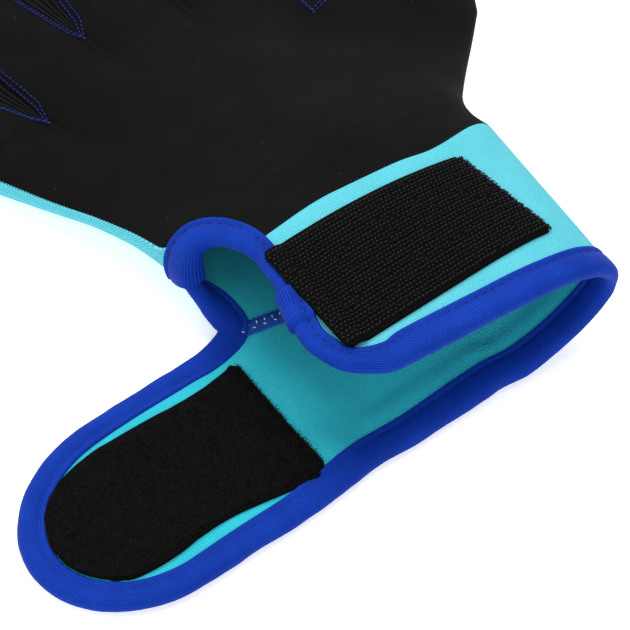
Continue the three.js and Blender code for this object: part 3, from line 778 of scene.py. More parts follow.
def jersey(name, light, middle, dark, pitch, depth, sheen, specks=None):
    """Fine ribbed jersey laminated on neoprene; its ribs run along the cut's second direction."""
    s = Shader(name)
    u, v = s.cut_place()
    wander = s.math("MULTIPLY", s.math("SUBTRACT", s.noise(9), 0.5), 0.5)
    rib = s.wave(s.math("ADD", u, wander), pitch)
    loops = s.wave(s.math("MULTIPLY_ADD", rib, 0.25, v), pitch * 0.8)
    knit = s.blend((rib, 0.72), (loops, 0.28))
    fuzz = s.noise(0.45)
    patches = s.noise(14, 3)
    value = s.blend((knit, 0.6), (fuzz, 0.22), (patches, 0.2))
    color = s.ramp(value, [(0.2, dark), (0.52, middle), (0.84, light)])
    if specks:
        grains = s.ramp(s.noise(0.9, 0), [(0.87, (0, 0, 0)), (0.885, (1, 1, 1))])
        color = s.mix(s.math("MULTIPLY", grains, 0.5), color, specks)
    s.bumps((patches, 1.2, 0.25), (knit, depth, 0.8), (fuzz, 0.12, 0.6))
    return s.finish(color, s.span(fuzz, 0.76, 0.9), 0.03, sheen)


def knit_tape(name, light, middle, dark):
    """Soft knit binding tape, ribbed along its length."""
    s = Shader(name)
    u, v = s.cut_place()
    rib = s.wave(s.math("MULTIPLY_ADD", s.noise(7), 0.6, u), 0.5)
    loops = s.wave(s.math("MULTIPLY_ADD", rib, 0.3, v), 0.55)
    knit = s.blend((rib, 0.7), (loops, 0.3))
    fuzz = s.noise(0.5)
    patches = s.noise(9, 3)
    value = s.blend((knit, 0.5), (fuzz, 0.3), (patches, 0.25))
    color = s.ramp(value, [(0.2, dark), (0.52, middle), (0.85, light)])
    s.bumps((patches, 0.8, 0.3), (knit, 0.08, 0.8), (fuzz, 0.1, 0.5))
    return s.finish(color, s.span(fuzz, 0.62, 0.78), 0.07, 0.03, 0.4, (0.3, 0.5, 1.0))


def thread(name, light, dark, specular=0.2):
    """Twisted sewing thread."""
    s = Shader(name)
    twist = s.noise(0.35, 1)
    color = s.ramp(s.blend((twist, 0.7), (s.noise(6, 1), 0.3)), [(0.3, dark), (0.7, light)])
    s.bumps((twist, 0.15, 0.7))
    return s.finish(color, s.span(twist, 0.5, 0.7), specular)


def woven(name, light, dark, depth):
    """Tightly woven tape ground with crossing yarns."""
    s = Shader(name)
    u, v = s.cut_place()
    across, along = 0.5, 0.42
    yarns = s.math("MULTIPLY", s.wave(u, across), s.wave(v, along))
    check = s.math("MULTIPLY", s.wave(u, across * 2), s.wave(v, along * 2))
    weave = s.blend((yarns, 0.7), (check, 0.3))
    fuzz = s.noise(0.4)
    color = s.ramp(s.blend((weave, 0.6), (fuzz, 0.4)), [(0.2, dark), (0.75, light)])
    s.bumps((s.noise(8), 0.5, 0.3), (weave, depth, 0.9), (fuzz, 0.08, 0.5))
    return s.finish(color, s.span(fuzz, 0.6, 0.8), 0.05)


BLACK = jersey("black_jersey", srgb(30, 30, 31), srgb(12, 12, 13), srgb(2, 2, 3), 0.62, 0.17, 0.006,
               srgb(66, 66, 68))
CYAN = jersey("cyan_jersey", srgb(118, 210, 222), srgb(86, 188, 202), srgb(42, 144, 164), 0.55, 0.18, 0.05)
# Darker, deeper teal copy of the cyan jersey for the inner skins of the back and the cuff: painted shade for
# the inside of the ring and the strap's shaded face.
INSIDE_SHADE_CYAN = jersey("cyan_jersey_painted_inside_shade", srgb(66, 198, 212), srgb(46, 180, 196), srgb(20, 138, 158), 0.55, 0.16, 0.02)
BLUE = knit_tape("blue_knit_tape", srgb(18, 70, 188), srgb(6, 43, 140), srgb(3, 25, 96))
DARK_THREAD = thread("dark_blue_thread", srgb(8, 34, 118), srgb(4, 16, 70))
BLUE_THREAD = thread("blue_thread", srgb(44, 86, 205), srgb(16, 34, 120))
DIM_THREAD = thread("dim_blue_thread", srgb(20, 40, 124), srgb(8, 16, 64))
BLACK_THREAD = thread("black_thread", srgb(30, 30, 32), srgb(6, 6, 7))
WHITE_THREAD = thread("pale_thread", srgb(205, 225, 240), srgb(110, 150, 190))
HOOK_GROUND_CLOTH = woven("hook_tape_ground", srgb(7, 7, 8), srgb(2, 2, 2), 0.16)
LOOP_GROUND_CLOTH = woven("loop_tape_ground", srgb(5, 5, 6), srgb(1, 1, 1), 0.12)
HOOK_PLASTIC = thread("hook_filament", srgb(24, 24, 25), srgb(12, 12, 13), 0.3)
PILE = thread("loop_pile", srgb(15, 15, 16), srgb(3, 3, 4), 0.09)
SEAM_BASE = thread("seam_base", srgb(40, 110, 175), srgb(14, 40, 120))


# Hand: palm and back over one closed skin, whose angle is 0 on the left, 90 on the palm side

FINGER_CELLS = 16
WEB_CELLS = (6, 7, 6, 9)
LAP_CELLS = 6
TIP_ROWS = 8
TIP_ROW_CUT = 1.4
LAP_CUT = 3.0
SEAM_SINK = 0.8
SEAM_OVERLAP = 1.5
NOTCH_TURN = 45
PRESSED = (0.45, 0.9)
RUMPLE_HEIGHT = 0.45
RUMPLE_SIZE = 24.0
HAND_ROWS = np.concatenate([NOTCH_AT * (1 - np.linspace(1, 0, 22) ** 2), np.linspace(NOTCH_AT, 1, 58)[1:]])
FINGER_ROWS = np.concatenate([np.linspace(0, WEB_REACH, 26), np.linspace(WEB_REACH, 1, 14)[1:]])


def hand_columns():
    columns = []
    for i in range(len(FINGERS)):
        low, high = MARKS[2 * i], MARKS[2 * i + 1]
        for k in range(FINGER_CELLS + 1):
            rho = -math.cos(math.pi * k / FINGER_CELLS)
            columns.append({"finger": i, "rho": rho, "across": lerp(low, high, (1 + rho) / 2)})
        if i < len(FINGERS) - 1:
            for k in range(1, WEB_CELLS[i]):
                share = k / WEB_CELLS[i]
                columns.append({"web": i, "share": share, "across": lerp(high, MARKS[2 * i + 2], share)})
    return columns


COLUMNS = hand_columns()
COLUMN_ANGLES = np.degrees(np.arccos([-column["across"] for column in COLUMNS]))
FIRST_COLUMNS = [next(k for k, c in enumerate(COLUMNS) if c.get("finger") == i) for i in range(len(FINGERS))]
MIDDLE_COLUMN = FIRST_COLUMNS[2] + FINGER_CELLS // 2
LITTLE_END = math.degrees(math.acos(-MARKS[1]))


def column_point(side, column, t):
    if "web" in column:
        return web_point(side, column["web"], column["share"], t)
    return finger_point(side, column["finger"], column["rho"], t)


ROOT_ACROSS = np.array([column["across"] for column in COLUMNS])
ROOT_HEIGHTS = {side: np.array([column_point(side, c, 0.0)[2] for c in COLUMNS]) for side in (1, -1)}


def hand_skin(degrees, v):
    """The hand's middle surface all round: palm side for angles above 0, back side below."""
    degrees, v = np.broadcast_arrays(np.asarray(degrees, float), np.asarray(v, float))
    points = hand_point(degrees, v)
    across = -np.cos(np.radians(np.abs(degrees)))
    above = np.interp(across, ROOT_ACROSS, ROOT_HEIGHTS[1])
    below = np.interp(across, ROOT_ACROSS, ROOT_HEIGHTS[-1])
    points[..., 2] = lerp(points[..., 2], np.where(degrees >= 0, above, below), rise(v, FLATTENING, 1))
    return points


def side_seam(v):
    """Angle of the seam between palm and back beyond the notch."""
    return lerp(SEAM_ANGLE, SIDE_ANGLE, smooth((v - NOTCH_AT) / SIDE_TURN))


def seam_share(t):
    """How far the back laps on to the little finger's palm side, in its own width's units."""
    lap = 2 * (1 - math.cos(math.radians(float(side_seam(1.0))))) / (1 + MARKS[1])
    return -1 + lap * (1 - smooth(t / SIDE_LAP_END))


def spread_angles(border, v, kept=180):
    """Angles of the columns, pressed together between a border on the left and the kept ones."""
    def pressed(end):
        return np.where(COLUMN_ANGLES < end, lerp(border, end, COLUMN_ANGLES / end), COLUMN_ANGLES)

    return lerp(pressed(kept), pressed(LITTLE_END), rise(v, *PRESSED))


def panel_angles(side, v):
    """Angles of a panel's columns, and the angle up to which the back laps on to the palm side."""
    if v < NOTCH_AT:
        border = float(left_border(side, v))
        start = max(-border, 0.0)
    else:
        border = float(side_seam(v)) + side * SEAM_OVERLAP
        start = 0.0
    if side > 0:
        return spread_angles(border, v), 0.0
    return -spread_angles(start, v, NOTCH_TURN), max(border, 0.0)


def hand_rows(cloth, side):
    """Rows from the wrist seam to the finger roots: the last one, its places across, its place up."""
    previous, middle, up = None, None, 0.0
    for v in HAND_ROWS:
        at = max(float(v), SEAM_SINK / PALM_LENGTH)
        angles, lap = panel_angles(side, v)
        points = hand_skin(angles, at)
        up += 0.0 if middle is None else float(length_of(points[MIDDLE_COLUMN] - middle))
        middle = points[MIDDLE_COLUMN]
        marks = path_marks(points)
        across = marks - marks[MIDDLE_COLUMN]
        row = [cloth.add(point, (x, up)) for point, x in zip(points, across)]
        cloth.level.add(row[-1])
        if side < 0 and lap > 0.01:
            skin = hand_skin(np.linspace(lap, 0, LAP_CELLS + 1), at)
            steps = np.cumsum(length_of(np.diff(skin, axis=0))[::-1])[::-1]
            row = [cloth.add(point, (across[0] - step, up)) for point, step in zip(skin, steps)] + row
        elif side < 0:
            row = row[:1] * LAP_CELLS + row
        if previous:
            cloth.band(previous, row)
        previous = row
    return previous, across, up


def finger_rows(cloth, side, previous, across, up):
    """Rows of the fingers, with the webs as far as they reach."""
    for t in FINGER_ROWS:
        low = float(seam_share(t))
        row = []
        for i, column in enumerate(COLUMNS):
            if "web" in column:
                reached = t < WEB_REACH + 1e-9
                place = (across[i], up + t * MIDDLE_FINGER)
                row.append(cloth.add(column_point(side, column, t), place) if reached else None)
                continue
            finger, rho = column["finger"], column["rho"]
            free = abs(rho) == 1 and float(joined(finger, rho, t)) < 0.99
            free = free and not (side > 0 and i == 0 and low > -1)
            place = (across[i], up + t * MIDDLE_FINGER * FINGERS[finger]["length"])
            if side > 0 and finger == 0:
                rho = lerp(low, 1.0, (1 + rho) / 2)
            row.append(cloth.add(finger_point(side, finger, rho, t), place, free))
        if side < 0 and low > -0.999:
            lap = []
            for share in np.arange(LAP_CELLS) / LAP_CELLS:
                place = (across[0] - LAP_CUT * (1 - share), up + t * MIDDLE_FINGER * FINGERS[0]["length"])
                lap.append(cloth.add(finger_point(1, 0, lerp(low, -1.0, share), t), place))
            row = lap + row
        elif side < 0:
            row = row[:1] * LAP_CELLS + row
        cloth.band(previous, row)
        previous = row
    return previous


def finger_tip(cloth, side, i, below):
    """Round end of one finger over its last row."""
    shape = SHAPES[i]
    for j in range(1, TIP_ROWS + 1):
        row = []
        for k, under in enumerate(below):
            a = -math.cos(math.pi * k / FINGER_CELLS)
            x, y = to_disc(a, math.sin(math.pi * j / (2 * TIP_ROWS)))
            rim = j == TIP_ROWS or abs(a) == 1
            dome = 0.0 if rim else math.sqrt(max(0.0, 1 - x * x - y * y))
            across = shape["across"] * x * shape["radius"]
            plan = shape["centre"] + across + shape["along"] * y * shape["radius"] * TIP_STRETCH
            height = FINGER_MIDDLE + side * (SHEET_GAP / 2 + FINGER_RISE * dome)
            place = cloth.flat[under]
            row.append(cloth.add((*plan, height), (place[0], place[1] + TIP_ROW_CUT), rim))
        cloth.band(below, row)
        below = row


def panel(side):
    """Palm (1) or back (-1): hand, webs and fingers, as one cut of cloth."""
    cloth = Cloth(flipped=side < 0)
    last = finger_rows(cloth, side, *hand_rows(cloth, side))
    for i, start in enumerate(FIRST_COLUMNS):
        start += LAP_CELLS if side < 0 else 0
        finger_tip(cloth, side, i, last[start:start + FINGER_CELLS + 1])
    return cloth


def rumpled(cloth, seed):
    """Slow rumples along the normals, none at the wrist seam and at the free rims."""
    points = np.array(cloth.points)
    shift = soft_noise(points * np.array([1, 0.6, 1]), RUMPLE_SIZE, seed) * RUMPLE_HEIGHT
    shift *= rise(points[:, 1], SEAM_Y + 2, SEAM_Y + 12)
    shift[list(cloth.level)] = 0
    cloth.points = [tuple(p) for p in points + cloth.normals(points) * shift[:, None]]
    return cloth


def on_table(points):
    """Nothing reaches under the table."""
    points[:, 2] = np.maximum(points[:, 2], 0.0)
    return points


def add_cloth(name, cloth, inner, material, slot, node, inside_shade=None):
    """Piece of neoprene; inner says which of its two skins gets the darker cyan copy, painted shade for the
    inside.
    """
    points, flat, faces = cloth.solid(WALL / 2, -WALL / 2)
    count = len(cloth.faces)
    inside_shaded_faces = range(inner * count, (inner + 1) * count)
    return make_piece(name, on_table(points), faces, material, slot, node, flat, inside_shade, inside_shaded_faces)


palm = add_cloth("palm_cloth", rumpled(panel(1), 3), 1, BLACK, "palm_neoprene", "palm_panel")
# The back's and the cuff's inner skins take the darker cyan copy, painted shade.
back = add_cloth("back_cloth", rumpled(panel(-1), 8), 1, CYAN, "back_neoprene", "back_panel", INSIDE_SHADE_CYAN)


# Cuff: the ring and the strap as one band

def strap_point(out, v):
    low = strap_low(-out)
    high = strap_high(-out) - SEAM_SINK * smooth((WRIST_HALF * 0.9 - out) / 8)
    return on_strap(out, lerp(low, high, v))


def strap_tip_point(across, along):
    low, high = strap_point(TIP_START, 0.0), strap_point(TIP_START, 1.0)
    x, y = to_disc(along, across)
    middle = low + (high - low) * np.asarray((1 + y) / 2)[..., None]
    return middle + STRAP_AXIS * np.asarray(x * STRAP_TIP)[..., None]


def even_ring(count):
    """Places at even lengths round the ring's middle."""
    fine = np.linspace(0, 1, 2400)
    marks = path_marks(ring_point(fine, np.full_like(fine, 0.5)))
    return np.interp(np.linspace(0, marks[-1], count), marks, fine)


def cuff_band():
    """The ring, the straight of the strap and its round tip, column by column."""
    cloth = Cloth()
    rows = np.linspace(0, 1, 46)
    ring = rows * (1 - SEAM_SINK / CUFF_LENGTH)
    turns = (STRAP_START, 40, 52, TIP_START)
    straight = [[STRAP_START]]
    straight += [np.linspace(a, b, count)[1:] for a, b, count in zip(turns, turns[1:], (22, 16, 26))]
    columns = [ring_point(np.full_like(rows, t), ring) for t in even_ring(170)]
    columns += [strap_point(np.full_like(rows, out), rows) for out in np.concatenate(straight)]
    columns += [strap_tip_point(2 * rows - 1, math.sin(math.pi * j / 20)) for j in range(1, 11)]
    marks = path_marks(np.array([column[len(rows) // 2] for column in columns]))
    cloth.grid(columns, [[(mark, v * CUFF_LENGTH) for v in rows] for mark in marks])
    return cloth


band = add_cloth("cuff_cloth", cuff_band(), 0, CYAN, "back_neoprene", "cuff_band", INSIDE_SHADE_CYAN)


# Binding: tape folded round the edge, with a roll outside the cloth and a sewn groove beside it

STATION_STEP = 0.6
SMOOTH_POINTS = 5
SMOOTH_NORMALS = 8
SMOOTH_WIDTH = 12
NOTCH_START = 0.985
FREE_END_RUN = (0.97, 0.03)
ROLL_OUT = 2.4
ROLL_HALF = 2.15
GROOVE_FROM_INNER = 1.9
GROOVE_HEIGHT = 1.4
RAILS = 7
LAP_HEIGHT = 1.2
LAP_FROM = 0.67
LAP_TO = 0.47
FOLD_HEIGHT = 1.5
FOLD_BEFORE = 10.0
FOLD_LENGTH = 24.0
STITCH_PITCH = 2.6
STITCH_LENGTH = 1.7
STITCH_RADIUS = 0.14


def surface_at(kind, p, q):
    """Point on the ring (0), the strap (1) or the hand (2) by its two parameters."""
    out = np.empty(p.shape + (3,))
    for number, surface in enumerate((ring_point, on_strap, hand_point)):
        chosen = kind == number
        if chosen.any():
            out[chosen] = surface(p[chosen], q[chosen])
    return out


# Steps of both parameters on each surface

STEP_P = np.array([0.002, 0.05, 0.2])
STEP_Q = np.array([0.004, 0.05, 0.002])


def surface_frame(kind, p, q):
    """Points, both directions along the surface for a step of 1, and normals."""
    def slope(step_p, step_q, step):
        return (surface_at(kind, p + step_p, q + step_q) - surface_at(kind, p - step_p, q - step_q)) / step

    step_p, step_q = STEP_P[kind], STEP_Q[kind]
    along_p = slope(step_p, 0, (2 * step_p)[:, None])
    along_q = slope(0, step_q, (2 * step_q)[:, None])
    return surface_at(kind, p, q), along_p, along_q, unit(np.cross(along_p, along_q))


def step_along(along_p, along_q, direction):
    """Steps of both parameters that go 1 mm along a direction."""
    pp, pq, qq = (along_p ** 2).sum(-1), (along_p * along_q).sum(-1), (along_q ** 2).sum(-1)
    dp, dq = (along_p * direction).sum(-1), (along_q * direction).sum(-1)
    det = pp * qq - pq * pq
    return (dp * qq - dq * pq) / det, (dq * pp - dp * pq) / det


def bound_edge():
    """The cuff's bound edge as runs of (surface, p, q, width), in order round the loop."""
    t = np.linspace(0, 1, 600)
    out = np.linspace(STRAP_START, TIP_START, 160)
    mouth = (0, t, 0 * t, BINDING)
    strap = (1, out, strap_low(-out), lerp(BINDING, STRAP_BINDING, np.clip(out / TIP_START, 0, 1)))

    angle = np.linspace(-math.pi / 2, math.pi / 2, 122)[1:-1]
    low, high = float(strap_low(-TIP_START)), float(strap_high(-TIP_START))
    reach = STRAP_TIP * np.cos(angle)
    y = (low + high) / 2 + STRAP_AXIS[1] * reach + (high - low) / 2 * np.sin(angle)
    tip = (1, TIP_START - STRAP_AXIS[0] * reach, y, STRAP_BINDING)
    out = np.linspace(TIP_START, WRIST_HALF * 1.14, 120)
    upper = (1, out, strap_high(-out), STRAP_BINDING)

    share = np.linspace(0, NOTCH_START, 120)
    v = NOTCH_AT * (1 - share[::-1] ** 3)
    below = (2, left_border(-1, v), v, NOTCH_BINDING)
    v = NOTCH_AT * (1 - share[1:] ** 1.8)
    above = (2, left_border(1, v), v, STRAP_BINDING)
    v = np.linspace(*FREE_END_RUN, 160)
    return [mouth, strap, tip, upper, below, above, (0, 0 * v, v, FREE_END_BINDING)]


def stations():
    """Even places round the bound edge, each with its surface, p, q and width; starts of the runs."""
    parts = []
    for kind, p, q, width in bound_edge():
        run = stack(kind, p, q, width)
        marks = path_marks(surface_at(run[:, 0].astype(int), p, q))
        count = max(2, int(round(marks[-1] / STATION_STEP)))
        parts.append(between(np.linspace(0, marks[-1], count), marks, run))
    return np.concatenate(parts), np.cumsum([0] + [len(part) for part in parts])


def round_smooth(values, reach):
    """Mean of values along a closed loop, the nearest of 2 * reach + 1 places weighing most."""
    weights = [1 - abs(k) / (reach + 1) for k in range(-reach, reach + 1)]
    total = sum(w * np.roll(values, k, axis=0) for w, k in zip(weights, range(-reach, reach + 1)))
    return total / sum(weights)


def tape_lap(starts, marks):
    """Extra height of the tape: the tab on the free end and the fold at the notch's top."""
    lap = np.zeros(len(marks))
    free_end = np.arange(starts[6], starts[7])
    v = np.linspace(*FREE_END_RUN, len(free_end))
    lap[free_end[(v < LAP_FROM) & (v > LAP_TO)]] = LAP_HEIGHT
    from_fold = marks - marks[starts[5]] + FOLD_BEFORE
    return lap + FOLD_HEIGHT * (from_fold > 0) * (1 - smooth(from_fold / FOLD_LENGTH))


def walk_inward():
    """Rails on the cloth beside its bound edge, with what the tape needs at each station."""
    places, starts = stations()
    kind, (p, q, width) = places[:, 0].astype(int), places[:, 1:].T
    edge = surface_at(kind, p, q)
    soft = round_smooth(edge, SMOOTH_POINTS)
    tangent = unit(round_smooth(unit(np.roll(soft, -2, 0) - np.roll(soft, 2, 0)), SMOOTH_POINTS))
    depth = round_smooth(width, SMOOTH_WIDTH) - ROLL_OUT
    points, normals, headings = [], [], []
    for _ in range(RAILS):
        at, along_p, along_q, normal = surface_frame(kind, p, q)
        heading = unit(np.cross(normal, tangent))
        points.append(round_smooth(at, SMOOTH_POINTS))
        normals.append(round_smooth(normal, SMOOTH_NORMALS))
        headings.append(heading)
        move_p, move_q = step_along(along_p, along_q, heading)
        p = p + move_p * depth / (RAILS - 1)
        q = q + move_q * depth / (RAILS - 1)
    found = {
        "points": np.stack(points, 1),
        "normals": unit(np.stack(normals, 1)),
        "inward": unit(round_smooth(headings[0], 4)),
        "tangent": tangent,
        "depth": depth,
        "lap": tape_lap(starts, path_marks(edge)),
    }
    shift = int(starts[1] * 0.6)
    return {name: np.roll(values, -shift, 0) for name, values in found.items()}


EDGE = walk_inward()


def beside_edge(d, height):
    """Points at distances in from the bound edge and heights off the cloth's middle surface."""
    share = np.clip(d / EDGE["depth"], 0, 1) * (RAILS - 1)
    low = np.minimum(share.astype(int), RAILS - 2)
    t = (share - low)[:, None]
    rows = np.arange(len(low))
    at = lerp(EDGE["points"][rows, low], EDGE["points"][rows, low + 1], t)
    normal = unit(lerp(EDGE["normals"][rows, low], EDGE["normals"][rows, low + 1], t))
    over = np.minimum(d, 0)[:, None]
    return at + EDGE["inward"] * over + normal * np.asarray(height)[:, None], normal


def tape_profile():
    """Section of the folded tape from its inner edge on the outside, round the roll, to inside."""
    depth = EDGE["depth"]
    groove = depth - GROOVE_FROM_INNER
    one = np.ones_like(depth)
    outside = [
        (depth, 0.7 * one), (depth - 0.02, 1.25 * one), (depth - 0.35, 1.78 * one),
        (depth - 0.95, 1.85 * one), (depth - 1.5, 1.62 * one), (groove, GROOVE_HEIGHT * one),
        (groove - 0.35, 1.6 * one), (groove - 0.9, 1.95 * one), ((groove - 0.9) * 0.5, 2.12 * one),
        (0 * one, ROLL_HALF * one),
    ]
    roll = [(-ROLL_OUT * math.cos(math.radians(a)) * one, ROLL_HALF * math.sin(math.radians(a)) * one)
            for a in (72, 54, 36, 18, 0, -18, -36, -54, -72)]
    inside = [(d, -h) for d, h in reversed(outside)]
    return outside + roll + inside


def binding():
    """The folded tape as a tube round the whole edge."""
    edge, lap = EDGE["points"][:, 0], EDGE["lap"]
    wobble = soft_noise(edge, 9, 21) * 0.08 + soft_noise(edge, 3.2, 5) * 0.035
    rails = []
    for d, height in tape_profile():
        puffed = np.sign(height) * (np.abs(height) + lap * smooth(np.abs(height) / LAP_HEIGHT)) * (1 + wobble)
        pushed = np.where(d < 0, d * (1 + lap / ROLL_OUT + wobble), d)
        rails.append(beside_edge(pushed, puffed)[0])
    rails = np.stack(rails, 1)
    steps = length_of(np.diff(rails, axis=1)).mean(0)
    around = np.concatenate([[0], np.cumsum(steps)])
    marks = path_marks(edge)
    flat = [(a, mark) for mark in np.append(marks, marks[-1] + STATION_STEP) for a in around]
    points = on_table(np.concatenate([rails, rails[:1]]).reshape(-1, 3))
    return points, flat, tube(len(edge), rails.shape[1])


points, flat, faces = binding()
tape = make_piece("edge_tape", points, faces, BLUE, "binding_tape", "edge_binding", flat)


def groove_stitches():
    """Sewn rows in the tape's groove, outside and inside."""
    groups = []
    marks = path_marks(EDGE["points"][:, 0])
    places = np.arange(0, marks[-1], STITCH_PITCH)
    along = unit(between(places, marks, EDGE["tangent"]))
    for side in (1, -1):
        height = side * (GROOVE_HEIGHT + 0.03 + EDGE["lap"])
        at, normal = beside_edge(EDGE["depth"] - GROOVE_FROM_INNER, height)
        ups = unit(between(places, marks, normal)) * side
        groups.append(capsule_row(between(places, marks, at), along, ups, STITCH_LENGTH, STITCH_RADIUS))
    return merged(*groups)


stitches = make_piece("binding_stitches", *groove_stitches(), DARK_THREAD, "binding_tape")


# Hook tape on the outside of the upper cuff; a and b go from 0 to 1 along and across it

HOOK_WIDTH = 62.0
HOOK_LENGTH = 35.0
HOOK_LOW = ((-34.9, -16.9), (27.3, -10.9))
HOOK_HIGH = ((-34.5, 18.8), (23.2, 20.9))
HOOK_ARCH = 1.5
HOOK_CORNER = 1.3
HOOK_GROUND = 1.0
HOOK_PITCH = (1.17, 1.15)
HOOK_RADIUS = 0.2
HOOK_SHAPE = ((0.0, 0.0), (0.04, 0.42), (0.16, 0.66), (0.36, 0.7), (0.48, 0.5))
SELVEDGE = 1.2
SELVEDGE_SINK = 0.22
RAVEL_COUNT = 150
RAVEL_RADIUS = 0.13
RAVEL_SHAPE = ((0.0, 0.0), (0.9, 0.15), (1.5, 0.1), (2.0, -0.2))
TAPE_GAP = 0.1


def hook_base(a, b, height=0.0):
    """Points and normals over the cuff's top, riding up over the binding on the patch's left."""
    arch = HOOK_ARCH * np.clip(np.sin(np.pi * a), 0.0, 1.0) ** 1.2
    x, y = (lerp(lerp(*low, a), lerp(*high, a), b) for low, high in zip(zip(*HOOK_LOW), zip(*HOOK_HIGH)))
    y = y + arch * b
    raised = WALL / 2 + TAPE_GAP + rise(-x, 28.8, 32.0) + height
    normal = surface_normals(on_cuff_top, x, y, 0.05, 0.05)
    return on_cuff_top(x, y) + normal * np.asarray(raised)[..., None], normal


def hook_ground():
    """Tape ground with a thinner selvedge along both sides and its corners cut off a little."""
    cloth = Cloth()
    a, b = np.meshgrid(np.linspace(0, 1, 70), np.linspace(0, 1, 44))
    edge = np.minimum(b, 1 - b) * HOOK_LENGTH
    pull = np.maximum(0, 1 - edge / HOOK_CORNER) * HOOK_CORNER / HOOK_WIDTH
    a = np.where(a == 0, pull, np.where(a == 1, 1 - pull, a))
    sink = -SELVEDGE_SINK * (1 - smooth((edge - SELVEDGE * 0.8) / 0.6))
    cloth.grid(hook_base(a, b, sink)[0], np.stack([a * HOOK_WIDTH, b * HOOK_LENGTH], -1))
    return cloth.solid(HOOK_GROUND, 0.0, 0.6)


points, flat, faces = hook_ground()
hooks_tape = make_piece("hook_tape_ground", points, faces, HOOK_GROUND_CLOTH, "hook_tape", "hook_patch", flat)


def copies(faces, count, size):
    """Faces of one small form, repeated over all its copies of size points each."""
    return (np.array(faces)[None] + (np.arange(count) * size)[:, None, None]).reshape(-1, 4).tolist()


def bristles(centres, along, normals, degrees, shape, radius):
    """One bent filament of four sides at each place, turned out of its row by degrees."""
    turn = np.radians(degrees)[:, None]
    facing = along * np.cos(turn) + np.cross(normals, along) * np.sin(turn)
    side = np.cross(normals, facing)
    spine = np.array(shape)
    ahead = unit(np.gradient(spine, axis=0))
    local = []
    for (s, h), (ds, dh) in zip(spine, ahead):
        for c, d in ((1, 0), (0, 1), (-1, 0), (0, -1)):
            local.append((s - dh * c * radius, d * radius, h + ds * c * radius))
    local = np.array(local)
    axes = (facing, side, normals)
    points = sum(axis[:, None] * local[None, :, k:k + 1] for k, axis in enumerate(axes)) + centres[:, None]
    end = tuple(len(local) - 4 + k for k in range(4))
    return points.reshape(-1, 3), copies(tube(len(spine) - 1, 4) + [end], len(centres), len(local))


def hook_rows():
    """Hooks in even rows, every other row facing the other way."""
    random = np.random.default_rng(4)
    a = np.arange(0.6, HOOK_WIDTH - 0.3, HOOK_PITCH[0])
    b = np.arange(SELVEDGE, HOOK_LENGTH - SELVEDGE + 0.1, HOOK_PITCH[1])
    a, b = np.meshgrid(a, b)
    flip = 180.0 * (np.arange(a.shape[0]) % 2)[:, None] + 0 * a
    a, b, flip = a.ravel() / HOOK_WIDTH, b.ravel() / HOOK_LENGTH, flip.ravel()
    a = np.clip(a + random.normal(0, 0.0012, a.shape), 0.005, 0.997)
    b = b + random.normal(0, 0.0018, b.shape)
    keep = random.random(a.shape) > 0.02
    a, b, flip = a[keep], b[keep], flip[keep]
    centres, normals = hook_base(a, b, HOOK_GROUND - 0.08)
    along = unit(hook_base(np.minimum(a + 0.01, 1), b)[0] - hook_base(a - 0.01, b)[0])
    return bristles(centres, along, normals, random.normal(0, 9, a.shape) + flip, HOOK_SHAPE, HOOK_RADIUS)


hooks = make_piece("hook_filaments", *hook_rows(), HOOK_PLASTIC, "hook_tape")


def ravelled_end():
    """Loose yarn ends along the cut edge on the right."""
    random = np.random.default_rng(11)
    b = np.sort(random.uniform(0.02, 0.98, RAVEL_COUNT))
    a = np.full(RAVEL_COUNT, 1.0)
    centres, normals = hook_base(a - 0.015, b, random.uniform(0.2, 0.95, RAVEL_COUNT))
    along = unit(hook_base(a, b)[0] - hook_base(a - 0.03, b)[0])
    turn = random.normal(0, 32, RAVEL_COUNT)
    return bristles(centres, along, normals, turn, RAVEL_SHAPE, RAVEL_RADIUS)


ravel = make_piece("hook_tape_ravel", *ravelled_end(), HOOK_PLASTIC, "hook_tape")


# Loop tape on the inside of the strap

LOOP_LENGTH = 65.2
LOOP_WIDTH = 39.6
LOOP_RIM = 4.7
LOOP_THICKNESS = 0.9
LOOP_SLIP = (-1.2, -2.0)
LOOP_WAIST = (3.3, 2.0)
LOOP_CORNER = 1.5
PILE_COUNT = 26000
PILE_AT_END = 0.035


def loop_place(a, b):
    """Plan of the loop patch: a from its cut end (0) to the tip (1), b across (-1 to 1)."""
    tip = STRAP_TIP - LOOP_RIM
    body = (LOOP_LENGTH - tip) / LOOP_LENGTH
    out = TIP_START - (LOOP_LENGTH - tip) * (1 - np.minimum(a / body, 1))
    x, y = to_disc(np.sin(np.pi / 2 * np.clip((a - body) / (1 - body), 0, 1)), b)
    corner = LOOP_CORNER * np.maximum(0, np.abs(b) - 0.93) / 0.07 * (1 - smooth(a / 0.05))
    waist = np.sin(np.pi * np.clip((a - 0.04) / 0.8, 0, 1)) * np.where(b < 0, *LOOP_WAIST)
    slip = 1 - smooth(a / 0.6)
    middle = (strap_low(-out) + strap_high(-out)) / 2
    across = y * LOOP_WIDTH / 2 - b * waist
    return (STRAP_AXIS[0] * x * tip - out - corner + LOOP_SLIP[0] * slip,
            STRAP_AXIS[1] * x * tip + middle + across + LOOP_SLIP[1] * slip)


def loop_base(a, b, height=0.0):
    x, y = loop_place(a, b)
    at = on_strap(-x, y)
    at[..., 2] += WALL / 2 + TAPE_GAP + height
    return at


